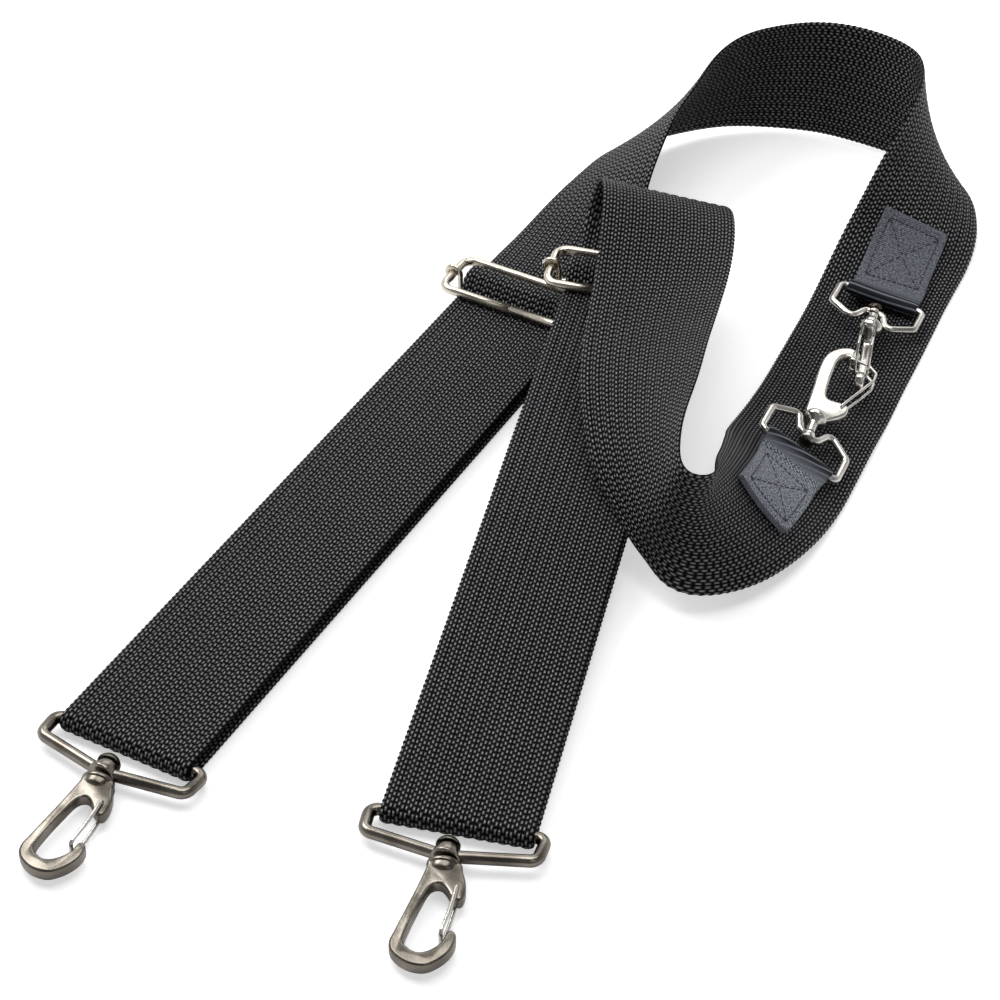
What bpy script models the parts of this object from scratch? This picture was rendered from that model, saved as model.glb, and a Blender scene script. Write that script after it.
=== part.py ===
"""A webbing shoulder strap laid out on a table: end hooks, sliders, and two linked small hooks on tabs."""
import math

import bmesh
import bpy
import numpy as np
from mathutils import Matrix, Vector

# Fits
GAP = 0.0003
AXIAL_PLAY = 0.0024
BORE_PLAY = 0.0006

# The lay: every place on the table is a share of this length, and the two headings are seen from above
LAY = 0.1
LAY_CENTRE_SHARES = (0.206, 0.098)
LEFT_HINGE_SHARES = (-1.212, -1.273)
RIGHT_HINGE_SHARES = (-0.133, -1.626)
LEFT_HEADING = math.radians(60.9)
RIGHT_HEADING = math.radians(76.2)
RIGHT_PITCH = math.radians(3.5)
LEG_STRAIGHT = 0.288

# Webbing
WEB_WIDTH = 0.050
WEB_THICK = 0.0018
KEY_STEP = 0.020
LAY_STEP = 0.006
TAB_STEP = 0.003
WEB_COLUMNS = 4
FOLD_STEPS = 10
STUB_LENGTH = 0.012

# End hooks
HOOK_WIRE = 0.0042
BASE_CLEARANCE = 0.0040
BASE_HALF_WIDTH = WEB_WIDTH / 2 + BASE_CLEARANCE
BASE_SIDE = 0.0105
BASE_APEX = 0.0149
BASE_CORNER = 0.0032
BASE_SHIFT = 0.0008
HOOK_LIFT = math.radians(3.5)
HOOK_DROOP = math.radians(4.4)
BOSS_RADIUS = 0.0046
BOSS_LENGTH = 0.0046
SHANK_RADIUS = 0.0014
DOME_RADIUS = 0.0040
DOME_HEIGHT = 0.0034
BODY_LENGTH = 0.0435
BODY_THICK = 0.0048
BODY_BEVEL = 0.0009
COLLAR_HALF_WIDTH = 0.0056
COLLAR_HALF_HEIGHT = 0.0043
COLLAR_LENGTH = 0.0048
GATE_WIRE = 0.0014
LEFT_HOOK = {"shift": BASE_SHIFT, "yaw": math.radians(11.5), "pulled_share": 0.52}
RIGHT_HOOK = {"shift": 0.0, "yaw": math.radians(5.8), "pulled_share": 0.45}

# Sliders
SLIDER_MARGIN = 0.0180
SLIDER_PLACE = LEG_STRAIGHT - SLIDER_MARGIN
FRAME_WIRE = 0.0030
FRAME_SPACING = 0.0208
FRAME_CLEARANCE = 0.0056
FRAME_HALF_WIDTH = WEB_WIDTH / 2 + FRAME_CLEARANCE
FRAME_SHIFT = 0.0014
FRAME_CORNER = 0.0045
FRAME_SPLIT = 0.0006
BAR_WIRE = 0.0021
BAR_BEND = 0.0012
BAR_RING_SWEEP = math.radians(265)
TAIL_LENGTH = 0.028
TAIL_SETTLE = 0.0093
SEWN_BASE_LENGTH = 0.033
TACK_LENGTH = 0.010
TACK_INSET = 0.006
TACK_THICK = 0.0005

# Tabs and small hooks
TAPE_WIDTH = 0.0280
TAPE_THICK = 0.0012
TAB_ROWS = 8
TAB_COLUMNS = 4
STITCH_THICK = 0.0005
STITCH_INNER_SHARE = 0.9
STITCH_INSET_SHARE = 0.13
SMALL_WIRE = 0.0025
SMALL_HALF_WIDTH = 0.0167
SMALL_SIDE = 0.0130
SMALL_DIP = 0.0194
SMALL_DIP_HALF_WIDTH = 0.0070
SMALL_POCKET_HALF_WIDTH = 0.0036
SMALL_ARCH = 0.0115
SMALL_BOSS_RADIUS = 0.0024
SMALL_PLAY = 0.0020
SMALL_LENGTH = 0.0520
SMALL_THICK = 0.0032
SMALL_BEVEL = 0.0006
SMALL_NECK_RADIUS = 0.0018
SMALL_NECK_LENGTH = 0.0055
SMALL_COLLAR_RADIUS = 0.0044
SMALL_COLLAR_LENGTH = 0.0055
SMALL_SHANK_RADIUS = 0.0011
SMALL_BORE_PLAY = 0.0004
SMALL_DOME_RADIUS = 0.0030
SMALL_DOME_HEIGHT = 0.0016
SMALL_GATE_WIRE = 0.0012

# Heights through the plies of a leg, from the table up
LOWER_PLY = WEB_THICK / 2
FOLD_RADIUS = HOOK_WIRE / 2 + GAP + WEB_THICK / 2
FOLD_AXIS = LOWER_PLY + FOLD_RADIUS
UPPER_PLY = FOLD_AXIS + FOLD_RADIUS
BAR_HEIGHT = UPPER_PLY - WEB_THICK - GAP - WEB_THICK / 2 - GAP - BAR_WIRE / 2 + GAP / 2
FRAME_HEIGHT = UPPER_PLY + WEB_THICK / 2 + GAP + FRAME_WIRE / 2
EYE_RADIUS = SMALL_WIRE / 2 + GAP + TAPE_THICK

# Resolution
ROUND_SIDES = 12
WIRE_SIDES = 8
CORNER_STEPS = 4
SPAN_STEPS = 10
SMOOTH_PASSES = 10
BEVEL_STEPS = 2
SHARP_ANGLE = math.radians(35)
BEVEL_ANGLE = math.radians(60)
STRAIGHT_ANGLE = math.radians(179)
CORNER_REACH_SHARE = 0.49

# The strap between its straight legs, in shares of the lay: outer edge, then inner edge
STATION_SHARES = (
    ((0.08, 1.57, 0.05), (0.49, 1.33, 0.14)),
    ((0.18, 1.76, 0.05), (0.56, 1.50, 0.24)),
    ((0.29, 1.93, 0.06), (0.62, 1.66, 0.34)),
    ((0.42, 2.09, 0.07), (0.69, 1.84, 0.41)),
    ((0.59, 2.22, 0.06), (0.78, 2.00, 0.46)),
    ((0.77, 2.32, 0.04), (0.88, 2.18, 0.50)),
    ((0.96, 2.38, 0.03), (1.02, 2.32, 0.52)),
    ((1.15, 2.39, 0.02), (1.20, 2.40, 0.51)),
    ((1.34, 2.35, 0.02), (1.39, 2.41, 0.51)),
    ((1.52, 2.27, 0.02), (1.56, 2.34, 0.50)),
    ((1.69, 2.16, 0.02), (1.69, 2.19, 0.50)),
    ((1.83, 2.01, 0.02), (1.68, 1.99, 0.49)),
    ((1.91, 1.82, 0.03), (1.60, 1.81, 0.42)),
    ((1.91, 1.62, 0.03), (1.50, 1.68, 0.31)),
    ((1.87, 1.45, 0.02), (1.42, 1.57, 0.20)),
    ((1.80, 1.29, 0.02), (1.34, 1.45, 0.10)),
    ((1.73, 1.13, 0.01), (1.27, 1.32, 0.04)),
    ((1.66, 0.96, 0.01), (1.20, 1.15, 0.02)),
    ((1.59, 0.78, 0.01), (1.12, 0.97, 0.02)),
    ((1.51, 0.60, 0.01), (1.05, 0.80, 0.02)),
    ((1.44, 0.43, 0.01), (0.98, 0.62, 0.04)),
    ((1.36, 0.25, 0.02), (0.91, 0.45, 0.07)),
    ((1.28, 0.07, 0.02), (0.85, 0.27, 0.14)),
    ((1.19, -0.14, 0.02), (0.81, 0.09, 0.25)),
    ((1.06, -0.35, 0.04), (0.78, -0.11, 0.39)),
    ((0.89, -0.51, 0.06), (0.74, -0.32, 0.50)),
    ((0.68, -0.57, 0.08), (0.67, -0.51, 0.57)),
    ((0.51, -0.48, 0.12), (0.60, -0.53, 0.61)),
    ((0.41, -0.30, 0.18), (0.61, -0.36, 0.63)),
    ((0.32, -0.10, 0.26), (0.66, -0.14, 0.62)),
    ((0.29, 0.11, 0.33), (0.71, 0.07, 0.60)),
    ((0.29, 0.33, 0.37), (0.75, 0.27, 0.56)),
    ((0.31, 0.54, 0.40), (0.80, 0.48, 0.53)),
    ((0.35, 0.75, 0.44), (0.84, 0.69, 0.51)),
    ((0.38, 0.96, 0.51), (0.87, 0.91, 0.50)),
    ((0.39, 1.16, 0.56), (0.88, 1.12, 0.47)),
    ((0.38, 1.32, 0.48), (0.86, 1.26, 0.38)),
    ((0.34, 1.33, 0.33), (0.82, 1.22, 0.27)),
)

# Outline of an end hook's body in shares of its length: along from the collar, sideways towards the gate
BODY_SHARES = (
    (0.02, -0.10), (0.10, -0.12), (0.30, -0.16), (0.50, -0.205), (0.70, -0.25), (0.80, -0.27),
    (0.88, -0.25), (0.95, -0.18), (0.99, -0.09), (0.99, 0.01), (0.94, 0.09), (0.86, 0.155),
    (0.77, 0.19), (0.69, 0.19), (0.65, 0.16), (0.66, 0.12), (0.74, 0.10), (0.81, 0.055),
    (0.86, -0.01), (0.87, -0.07), (0.84, -0.13), (0.78, -0.17), (0.60, -0.145), (0.42, -0.105),
    (0.29, -0.07), (0.24, -0.03), (0.24, 0.02), (0.29, 0.065), (0.34, 0.095), (0.37, 0.14),
    (0.36, 0.18), (0.30, 0.195), (0.20, 0.185), (0.10, 0.15), (0.02, 0.11),
)
BODY_PIVOT_SHARES = (0.25, 0.13)
BODY_GATE_SHARES = ((0.25, 0.13), (0.36, 0.125), (0.52, 0.11), (0.70, 0.08))

# The same for a small hook, whose wire gate bows outwards
SMALL_SHARES = (
    (0.15, -0.06), (0.19, -0.085), (0.26, -0.09), (0.50, -0.10), (0.74, -0.11), (0.87, -0.09),
    (0.95, -0.04), (0.99, 0.02), (1.00, 0.06), (0.985, 0.105), (0.95, 0.13), (0.88, 0.105),
    (0.90, 0.06), (0.89, 0.03), (0.86, 0.005), (0.76, -0.01), (0.56, -0.005), (0.43, 0.01),
    (0.38, 0.04), (0.38, 0.15), (0.35, 0.19), (0.28, 0.19), (0.21, 0.14), (0.15, 0.06),
)
SMALL_PIVOT_SHARES = (0.33, 0.14)
SMALL_GATE_SHARES = (
    (0.33, 0.14), (0.43, 0.18), (0.58, 0.24), (0.70, 0.285), (0.78, 0.285), (0.84, 0.22), (0.86, 0.075),
)

# Profiles turned about a swivel's axis: along it, then out from it, in shares of the head's length and radius
DOME_SHARES = ((1, 0), (0.92, 0.45), (0.6, 0.8), (0.2, 1))
COLLAR_SHARES = ((0, 0.8), (0.125, 1), (0.75, 0.95), (1, 0.6))
SMALL_COLLAR_SHARES = ((0.25, 0.9), (0.4, 1), (0.7, 0.95), (1, 0.4))

# Each tab's corners, in shares of the lay along the strap and towards its outer edge; and how its hook lies,
# its bar along the strap, towards the outer edge and up
UPPER_PLACE = {
    "corner_shares": ((6.13, -0.116), (6.13, 0.160), (5.77, -0.149), (5.75, 0.122)),
    "bar_shares": (6.227, 0.021, 0.056), "turn": math.radians(-1.0), "flipped": False,
    "tilt": math.radians(-7.0), "lift": math.radians(7.0), "yaw": math.radians(10.1),
    "roll": math.radians(98.0),
}
LOWER_PLACE = {
    "corner_shares": ((7.43, -0.120), (7.47, 0.133), (7.86, -0.124), (7.75, 0.144)),
    "bar_shares": (7.366, 0.014, 0.056), "turn": math.radians(2.4), "flipped": True,
    "tilt": math.radians(7.0), "lift": math.radians(13.8), "yaw": math.radians(4.4),
    "roll": math.radians(159.0),
}


# Helpers

def clear_scene():
    for obj in list(bpy.data.objects):
        bpy.data.objects.remove(obj, do_unlink=True)


def material(name, colour, roughness, metallic):
    made = bpy.data.materials.new(name)
    made.use_nodes = True
    shader = made.node_tree.nodes["Principled BSDF"]
    shader.inputs["Base Color"].default_value = (*colour, 1.0)
    shader.inputs["Roughness"].default_value = roughness
    shader.inputs["Metallic"].default_value = metallic
    return made


def add_object(name, bm, mat, frame, smooth=True):
    """Makes an object of the mesh, whose points are in the frame's own axes."""
    bmesh.ops.recalc_face_normals(bm, faces=bm.faces)
    mesh = bpy.data.meshes.new(name)
    bm.to_mesh(mesh)
    bm.free()
    obj = bpy.data.objects.new(name, mesh)
    obj.matrix_world = frame
    obj.data.materials.append(mat)
    bpy.context.scene.collection.objects.link(obj)
    if smooth:
        mesh.shade_smooth()
        mesh.set_sharp_from_angle(angle=SHARP_ANGLE)
    return obj


def hide_cutter(obj):
    obj.hide_render = True
    obj.display_type = "WIRE"


def boolean(obj, other, operation):
    step = obj.modifiers.new(operation.title(), "BOOLEAN")
    step.operation = operation
    step.solver = "EXACT"
    step.object = other
    hide_cutter(other)


def rounded(points, radius, closed):
    """The points with an arc of the radius at each corner."""
    rows = []
    count = len(points)
    for i, corner in enumerate(points):
        if not closed and i in (0, count - 1):
            rows.append(Vector(corner))
            continue
        corner = Vector(corner)
        before = Vector(points[i - 1]) - corner
        after = Vector(points[(i + 1) % count]) - corner
        angle = before.angle(after)
        if angle > STRAIGHT_ANGLE:
            rows.append(corner)
            continue
        longest = CORNER_REACH_SHARE * min(before.length, after.length)
        reach = min(radius / math.tan(angle / 2), longest)
        arc = reach * math.tan(angle / 2)
        inward = (before.normalized() + after.normalized()).normalized()
        middle = corner + inward * (arc / math.sin(angle / 2))
        start = corner + before.normalized() * reach - middle
        end = corner + after.normalized() * reach - middle
        sweep = start.angle(end)
        for k in range(CORNER_STEPS + 1):
            t = k / CORNER_STEPS
            row = (start * math.sin((1 - t) * sweep) + end * math.sin(t * sweep)) / math.sin(sweep)
            rows.append(middle + row)
    return rows


def tube(bm, points, radius, closed=False, sides=ROUND_SIDES):
    """A round bar along the points."""
    count = len(points)
    rings = []
    normal = None
    for i, point in enumerate(points):
        before = points[i - 1] if closed or i else point
        after = points[(i + 1) % count] if closed or i + 1 < count else point
        travel = (after - before).normalized()
        if normal is None:
            normal = travel.orthogonal().normalized()
            if abs(travel.z) < 0.5:
                normal = (Vector((0, 0, 1)) - travel * travel.z).normalized()
        normal = (normal - travel * normal.dot(travel)).normalized()
        side = travel.cross(normal)
        ring = []
        for k in range(sides):
            turn = 2 * math.pi * (k + 0.5) / sides
            ring.append(bm.verts.new(point + radius * (math.cos(turn) * normal + math.sin(turn) * side)))
        rings.append(ring)
    spans = zip(rings, rings[1:] + rings[:1]) if closed else zip(rings, rings[1:])
    for a, b in spans:
        for k in range(sides):
            bm.faces.new((a[k], a[(k + 1) % sides], b[(k + 1) % sides], b[k]))
    if not closed:
        bm.faces.new(rings[0])
        bm.faces.new(list(reversed(rings[-1])))


def turned(bm, profile, sides=16):
    """A solid turned about the X axis from (along, radius) points, its ends closed."""
    rings = []
    for along, radius in profile:
        if radius == 0:
            rings.append([bm.verts.new((along, 0, 0))])
            continue
        ring = []
        for k in range(sides):
            turn = 2 * math.pi * k / sides
            ring.append(bm.verts.new((along, radius * math.cos(turn), radius * math.sin(turn))))
        rings.append(ring)
    for a, b in zip(rings, rings[1:]):
        for k in range(sides):
            following = (k + 1) % sides
            if len(a) == 1:
                bm.faces.new((a[0], b[following], b[k]))
            elif len(b) == 1:
                bm.faces.new((a[k], a[following], b[0]))
            else:
                bm.faces.new((a[k], a[following], b[following], b[k]))
    for ring in (rings[0], rings[-1]):
        if len(ring) > 1:
            bm.faces.new(ring)


def plate(bm, outline, thick):
    """A flat plate of the outline, centred on the XY plane."""
    low = [bm.verts.new((x, y, -thick / 2)) for x, y in outline]
    high = [bm.verts.new((x, y, thick / 2)) for x, y in outline]
    count = len(outline)
    bm.faces.new(list(reversed(low)))
    bm.faces.new(high)
    for k in range(count):
        following = (k + 1) % count
        bm.faces.new((low[k], low[following], high[following], high[k]))


def slab(bm, low, high):
    """A closed sheet between two grids of points, given as rows of the same size."""
    grids = [[[bm.verts.new(point) for point in row] for row in grid] for grid in (low, high)]
    rows = len(low)
    columns = len(low[0])
    for i in range(rows - 1):
        for k in range(columns - 1):
            for grid in grids:
                bm.faces.new((grid[i][k], grid[i][k + 1], grid[i + 1][k + 1], grid[i + 1][k]))
    for i in range(rows - 1):
        for k in (0, columns - 1):
            bm.faces.new((grids[0][i][k], grids[0][i + 1][k], grids[1][i + 1][k], grids[1][i][k]))
    for k in range(columns - 1):
        for i in (0, rows - 1):
            bm.faces.new((grids[0][i][k], grids[0][i][k + 1], grids[1][i][k + 1], grids[1][i][k]))


def ribbon(bm, rows, width, thick, columns=1):
    """A band of the width and thickness through rows of (centre, across, normal)."""
    grids = []
    for face in (-thick / 2, thick / 2):
        grid = []
        for centre, across, normal in rows:
            middle = Vector(centre) + Vector(normal) * face
            sides = [width * (k / columns - 1 / 2) for k in range(columns + 1)]
            grid.append([middle + Vector(across) * side for side in sides])
        grids.append(grid)
    slab(bm, *grids)


# Places in the lay

def lay_point(shares):
    """A point of the lay, moved so that the whole part stands over the origin."""
    return np.array([
        (shares[0] - LAY_CENTRE_SHARES[0]) * LAY,
        (shares[1] - LAY_CENTRE_SHARES[1]) * LAY,
        shares[2] * LAY if len(shares) > 2 else 0.0,
    ])


def leg_frame(hinge_shares, heading, pitch):
    """A leg's frame: X along the strap from the hook, Y to its left, Z up from the lower face."""
    level = math.cos(pitch)
    along = Vector((math.cos(heading) * level, math.sin(heading) * level, math.sin(pitch)))
    left = Vector((-math.sin(heading), math.cos(heading), 0))
    up = along.cross(left)
    hinge = lay_point(hinge_shares)
    start = Vector((hinge[0], hinge[1], FOLD_AXIS)) - up * FOLD_AXIS
    frame = Matrix((along, left, up)).transposed().to_4x4()
    frame.translation = start
    return frame


LEFT_LEG = leg_frame(LEFT_HINGE_SHARES, LEFT_HEADING, 0)
RIGHT_LEG = leg_frame(RIGHT_HINGE_SHARES, RIGHT_HEADING, RIGHT_PITCH)


def leg_edges(leg, along):
    """Both edges of the upper ply at a distance from the hook."""
    return [np.array(leg @ Vector((along, side, UPPER_PLY))) for side in (WEB_WIDTH / 2, -WEB_WIDTH / 2)]


def unit(rows):
    return rows / np.linalg.norm(rows, axis=-1, keepdims=True)


def spline(keys):
    """A smooth line through the keys, with SPAN_STEPS to a span."""
    rows = []
    padded = np.concatenate([[2 * keys[0] - keys[1]], keys, [2 * keys[-1] - keys[-2]]])
    for a, b, c, d in zip(padded, padded[1:], padded[2:], padded[3:]):
        for k in range(SPAN_STEPS):
            t = k / SPAN_STEPS
            bend = 2 * b + (c - a) * t + (2 * a - 5 * b + 4 * c - d) * t**2 + (3 * b - a - 3 * c + d) * t**3
            rows.append(bend / 2)
    rows.append(keys[-1])
    return np.array(rows)


def strap_route():
    """Length along, centre and outward direction of the strap, and where its lay begins and ends."""
    spans = round(LEG_STRAIGHT / KEY_STEP)
    lengths = [LEG_STRAIGHT * k / spans for k in range(spans + 1)]
    keys = [leg_edges(LEFT_LEG, along) for along in lengths]
    keys += [[lay_point(outer), lay_point(inner)] for outer, inner in STATION_SHARES]
    keys += [leg_edges(RIGHT_LEG, along) for along in reversed(lengths)]
    rows = spline(np.array(keys))
    first = spans * SPAN_STEPS
    last = len(rows) - 1 - first
    straight = rows.copy()
    for _ in range(SMOOTH_PASSES):
        rows[1:-1] = (rows[:-2] + 2 * rows[1:-1] + rows[2:]) / 4
        rows[:first] = straight[:first]
        rows[last + 1:] = straight[last + 1:]
    centre = rows.mean(axis=1)
    travel = unit(np.gradient(centre, axis=0))
    out = rows[:, 0] - rows[:, 1]
    out = unit(out - (out * travel).sum(axis=1, keepdims=True) * travel)
    length = np.concatenate([[0], np.cumsum(np.linalg.norm(np.diff(centre, axis=0), axis=1))])
    return length, centre, out, length[first], length[last]


ROUTE_LENGTH, ROUTE_CENTRE, ROUTE_OUT, LAY_START, LAY_END = strap_route()


def along_route(along, rows):
    return np.array([np.interp(along, ROUTE_LENGTH, rows[:, k]) for k in range(3)])


def route_row(along):
    """Centre, outward direction and normal of the strap at a distance from the left fold."""
    reach = LAY_STEP / 2
    travel = unit(along_route(along + reach, ROUTE_CENTRE) - along_route(along - reach, ROUTE_CENTRE))
    out = along_route(along, ROUTE_OUT)
    out = unit(out - travel * (out @ travel))
    return along_route(along, ROUTE_CENTRE), out, np.cross(travel, out)


def strap_point(along, side, height):
    centre, out, normal = route_row(along)
    return Vector(centre + out * side + normal * height)


def strap_frame(along, side, height, turn):
    """A frame on the strap: X along it, Y outwards, Z off its face, turned about Z."""
    centre, out, normal = route_row(along)
    travel = np.cross(out, normal)
    frame = Matrix((Vector(travel), Vector(out), Vector(normal))).transposed().to_4x4()
    frame.translation = Vector(centre + out * side + normal * height)
    return frame @ Matrix.Rotation(turn, 4, "Z")


# Webbing

def fold_rows(leg, last_first):
    """Rows of one hook fold, from the end of the short lower ply round the bar to the upper ply."""
    rows = []
    axes = leg.to_3x3()
    out = axes @ Vector((0, 1, 0))
    up = axes @ Vector((0, 0, 1))
    rows.append((leg @ Vector((STUB_LENGTH, 0, LOWER_PLY)), out, -up))
    for k in range(FOLD_STEPS):
        turn = math.pi * k / FOLD_STEPS
        away = Vector((-math.sin(turn), 0, -math.cos(turn)))
        place = Vector((0, 0, FOLD_AXIS)) + away * FOLD_RADIUS
        rows.append((leg @ place, out, axes @ away))
    if last_first:
        rows = [(centre, across, -normal) for centre, across, normal in reversed(rows)]
    return rows


def strap_webbing(mat):
    rows = fold_rows(LEFT_LEG, False)
    tab_near, tab_far = (LOWER_PLACE["corner_shares"][k][0] * LAY for k in (0, 2))
    places = [0]
    stretches = ((LAY_START, tab_near, LAY_STEP), (tab_near, tab_far, TAB_STEP), (tab_far, LAY_END, LAY_STEP))
    for start, end, step in stretches:
        steps = round((end - start) / step)
        places += [start + (end - start) * k / steps for k in range(steps)]
    places += [LAY_END, ROUTE_LENGTH[-1]]
    rows += [route_row(along) for along in places]
    rows += fold_rows(RIGHT_LEG, True)
    bm = bmesh.new()
    ribbon(bm, rows, WEB_WIDTH, WEB_THICK, WEB_COLUMNS)
    return add_object("strap_webbing", bm, mat, Matrix.Identity(4))


def flat_rows(points):
    """Rows of a band in a leg's own frame from (along, height, slope) points."""
    rows = []
    for along, height, slope in points:
        normal = Vector((-math.sin(slope), 0, math.cos(slope)))
        rows.append((Vector((along, 0, height)), Vector((0, 1, 0)), normal))
    return rows


def lower_ply(name, leg, mat):
    start = STUB_LENGTH + GAP
    end = SLIDER_PLACE - SEWN_BASE_LENGTH - GAP
    bm = bmesh.new()
    ribbon(bm, flat_rows([(start, LOWER_PLY, 0), (end, LOWER_PLY, 0)]), WEB_WIDTH, WEB_THICK)
    return add_object(name, bm, mat, leg)


def sewn_end_path():
    """The turned end in (along, height, slope), zero along at the centre bar."""
    wrap = BAR_WIRE / 2 + GAP + WEB_THICK / 2
    points = [(-SEWN_BASE_LENGTH, LOWER_PLY, 0), (0, LOWER_PLY, 0)]
    for k in range(1, FOLD_STEPS):
        turn = math.pi * k / FOLD_STEPS
        points.append((wrap * math.sin(turn), BAR_HEIGHT - wrap * math.cos(turn), turn))
    top = BAR_HEIGHT + wrap
    rest = LOWER_PLY + WEB_THICK + GAP
    slope = math.pi + math.atan((top - rest) / TAIL_SETTLE)
    points += [(0, top, math.pi), (-TAIL_SETTLE / 2, (top + rest) / 2, slope)]
    points += [(-TAIL_SETTLE, rest, math.pi), (-TAIL_LENGTH, rest, math.pi)]
    return points


def sewn_end(name, leg, mat):
    bm = bmesh.new()
    ribbon(bm, flat_rows(sewn_end_path()), WEB_WIDTH, WEB_THICK)
    return add_object(name, bm, mat, leg @ Matrix.Translation((SLIDER_PLACE, 0, 0)))


def bartack(name, leg, mat):
    """The dense stitches over the turned end: a row of threads joined to one low block."""
    top = LOWER_PLY + WEB_THICK + GAP + WEB_THICK / 2 + GAP + TACK_THICK / 2
    back = -TAIL_LENGTH + TACK_INSET
    bm = bmesh.new()
    rows = flat_rows([(back, top, 0), (back + TACK_LENGTH, top, 0)])
    ribbon(bm, rows, WEB_WIDTH - 2 * TACK_INSET, TACK_THICK)
    return add_object(name, bm, mat, leg @ Matrix.Translation((SLIDER_PLACE, 0, 0)))


# Sliders

def slider_frame(name, leg, mat):
    """A bent wire rectangle whose ends meet in the bar nearer the hook."""
    half = FRAME_SPACING / 2
    split = FRAME_SPLIT / 2
    corners = [(-half, split, 0), (-half, FRAME_HALF_WIDTH, 0), (half, FRAME_HALF_WIDTH, 0),
               (half, -FRAME_HALF_WIDTH, 0), (-half, -FRAME_HALF_WIDTH, 0), (-half, -split, 0)]
    bm = bmesh.new()
    tube(bm, rounded(corners, FRAME_CORNER, False), FRAME_WIRE / 2)
    return add_object(name, bm, mat, leg @ Matrix.Translation((SLIDER_PLACE, FRAME_SHIFT, FRAME_HEIGHT)))


def slider_centre_bar(name, leg, mat):
    """A wire across under the strap whose ends rise beside it and curl over the frame's arms."""
    ring = FRAME_WIRE / 2 + GAP + BAR_WIRE / 2
    riser = FRAME_HALF_WIDTH - ring
    drop = FRAME_HEIGHT - BAR_HEIGHT
    half = rounded([(0, 0, -drop), (0, riser, -drop), (0, riser, 0)], BAR_BEND, False)
    for k in range(1, 4 * CORNER_STEPS):
        turn = BAR_RING_SWEEP * k / (4 * CORNER_STEPS - 1)
        half.append(Vector((0, FRAME_HALF_WIDTH - ring * math.cos(turn), ring * math.sin(turn))))
    mirrored = [Vector((x, -y, z)) for x, y, z in reversed(half[1:])]
    bm = bmesh.new()
    tube(bm, mirrored + half, BAR_WIRE / 2, sides=WIRE_SIDES)
    return add_object(name, bm, mat, leg @ Matrix.Translation((SLIDER_PLACE, FRAME_SHIFT, FRAME_HEIGHT)))


# End hooks

def hook_base(name, mat, frame):
    """A wire loop with a bored boss in its nearer bar."""
    apex = BASE_APEX
    half = [(0, BASE_HALF_WIDTH, 0), (BASE_SIDE, BASE_HALF_WIDTH - BASE_CORNER / 4, 0)]
    half.append((apex, BASE_CORNER, 0))
    corners = half + [(x, -y, z) for x, y, z in reversed(half)]
    bm = bmesh.new()
    tube(bm, rounded(corners, BASE_CORNER, True), HOOK_WIRE / 2, closed=True)
    base = add_object(name, bm, mat, frame)
    bm = bmesh.new()
    turned(bm, [(apex - BOSS_LENGTH / 2, BOSS_RADIUS), (apex + BOSS_LENGTH / 2, BOSS_RADIUS)])
    boolean(base, add_object(name + "_boss", bm, mat, frame), "UNION")
    bm = bmesh.new()
    bore = SHANK_RADIUS + BORE_PLAY
    turned(bm, [(apex - BOSS_LENGTH, bore), (apex + BOSS_LENGTH, bore)])
    boolean(base, add_object(name + "_bore", bm, mat, frame), "DIFFERENCE")
    return base


def body_frame(frame, yaw):
    """The swivel axis in the base's boss, askew and drooping as far as the loose boss lets it."""
    askew = Matrix.Rotation(yaw, 4, "Z") @ Matrix.Rotation(HOOK_DROOP, 4, "Y")
    return frame @ Matrix.Translation((BASE_APEX, 0, 0)) @ askew


def swivel_rivet(name, mat, frame, shank, dome, dome_height, inner, outer):
    """A domed head inside the loop, and a shank through the boss from one place to another."""
    bm = bmesh.new()
    profile = [(inner - dome_height * back, dome * out) for back, out in DOME_SHARES]
    turned(bm, profile + [(inner, dome), (inner, shank), (outer, shank)])
    return add_object(name, bm, mat, frame)


def cast_body(name, mat, frame, outline_shares, pivot_shares, length, thick, bevel, start, wire):
    """A flat casting of the outline with rounded edges and a bore for the gate."""
    bm = bmesh.new()
    plate(bm, [(start + along * length, side * length) for along, side in outline_shares], thick)
    body = add_object(name, bm, mat, frame)
    round_edges = body.modifiers.new("Bevel", "BEVEL")
    round_edges.width = bevel
    round_edges.segments = BEVEL_STEPS
    round_edges.angle_limit = BEVEL_ANGLE
    bm = bmesh.new()
    pivot = (start + pivot_shares[0] * length, pivot_shares[1] * length)
    tube(bm, [Vector((*pivot, -thick)), Vector((*pivot, thick))], wire / 2 + GAP)
    boolean(body, add_object(name + "_bore", bm, mat, frame), "DIFFERENCE")
    return body


def hook_body(name, mat, frame, start):
    body = cast_body(name, mat, frame, BODY_SHARES, BODY_PIVOT_SHARES, BODY_LENGTH, BODY_THICK, BODY_BEVEL,
                     start, GATE_WIRE)
    bm = bmesh.new()
    turned(bm, [(start + COLLAR_LENGTH * along, out) for along, out in COLLAR_SHARES])
    for vert in bm.verts:
        vert.co.y *= COLLAR_HALF_WIDTH
        vert.co.z *= COLLAR_HALF_HEIGHT
    boolean(body, add_object(name + "_collar", bm, mat, frame), "UNION")
    return body


def wire_gate(name, mat, frame, gate_shares, length, thick, start, wire):
    """A wire bent double: its ends sit in the body's bore, and its closed end bears inside the nose."""
    high = thick / 2 + GAP + wire / 2
    pivot = Vector((start + gate_shares[0][0] * length, gate_shares[0][1] * length, 0))
    side = [Vector((start + along * length, across * length, high)) - pivot for along, across in gate_shares]
    other = [Vector((point.x, point.y, -point.z)) for point in reversed(side)]
    foot = Vector((0, 0, GAP))
    bm = bmesh.new()
    tube(bm, rounded([foot] + side + other + [-foot], wire, False), wire / 2, sides=WIRE_SIDES)
    return add_object(name, bm, mat, frame @ Matrix.Translation(pivot))


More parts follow.
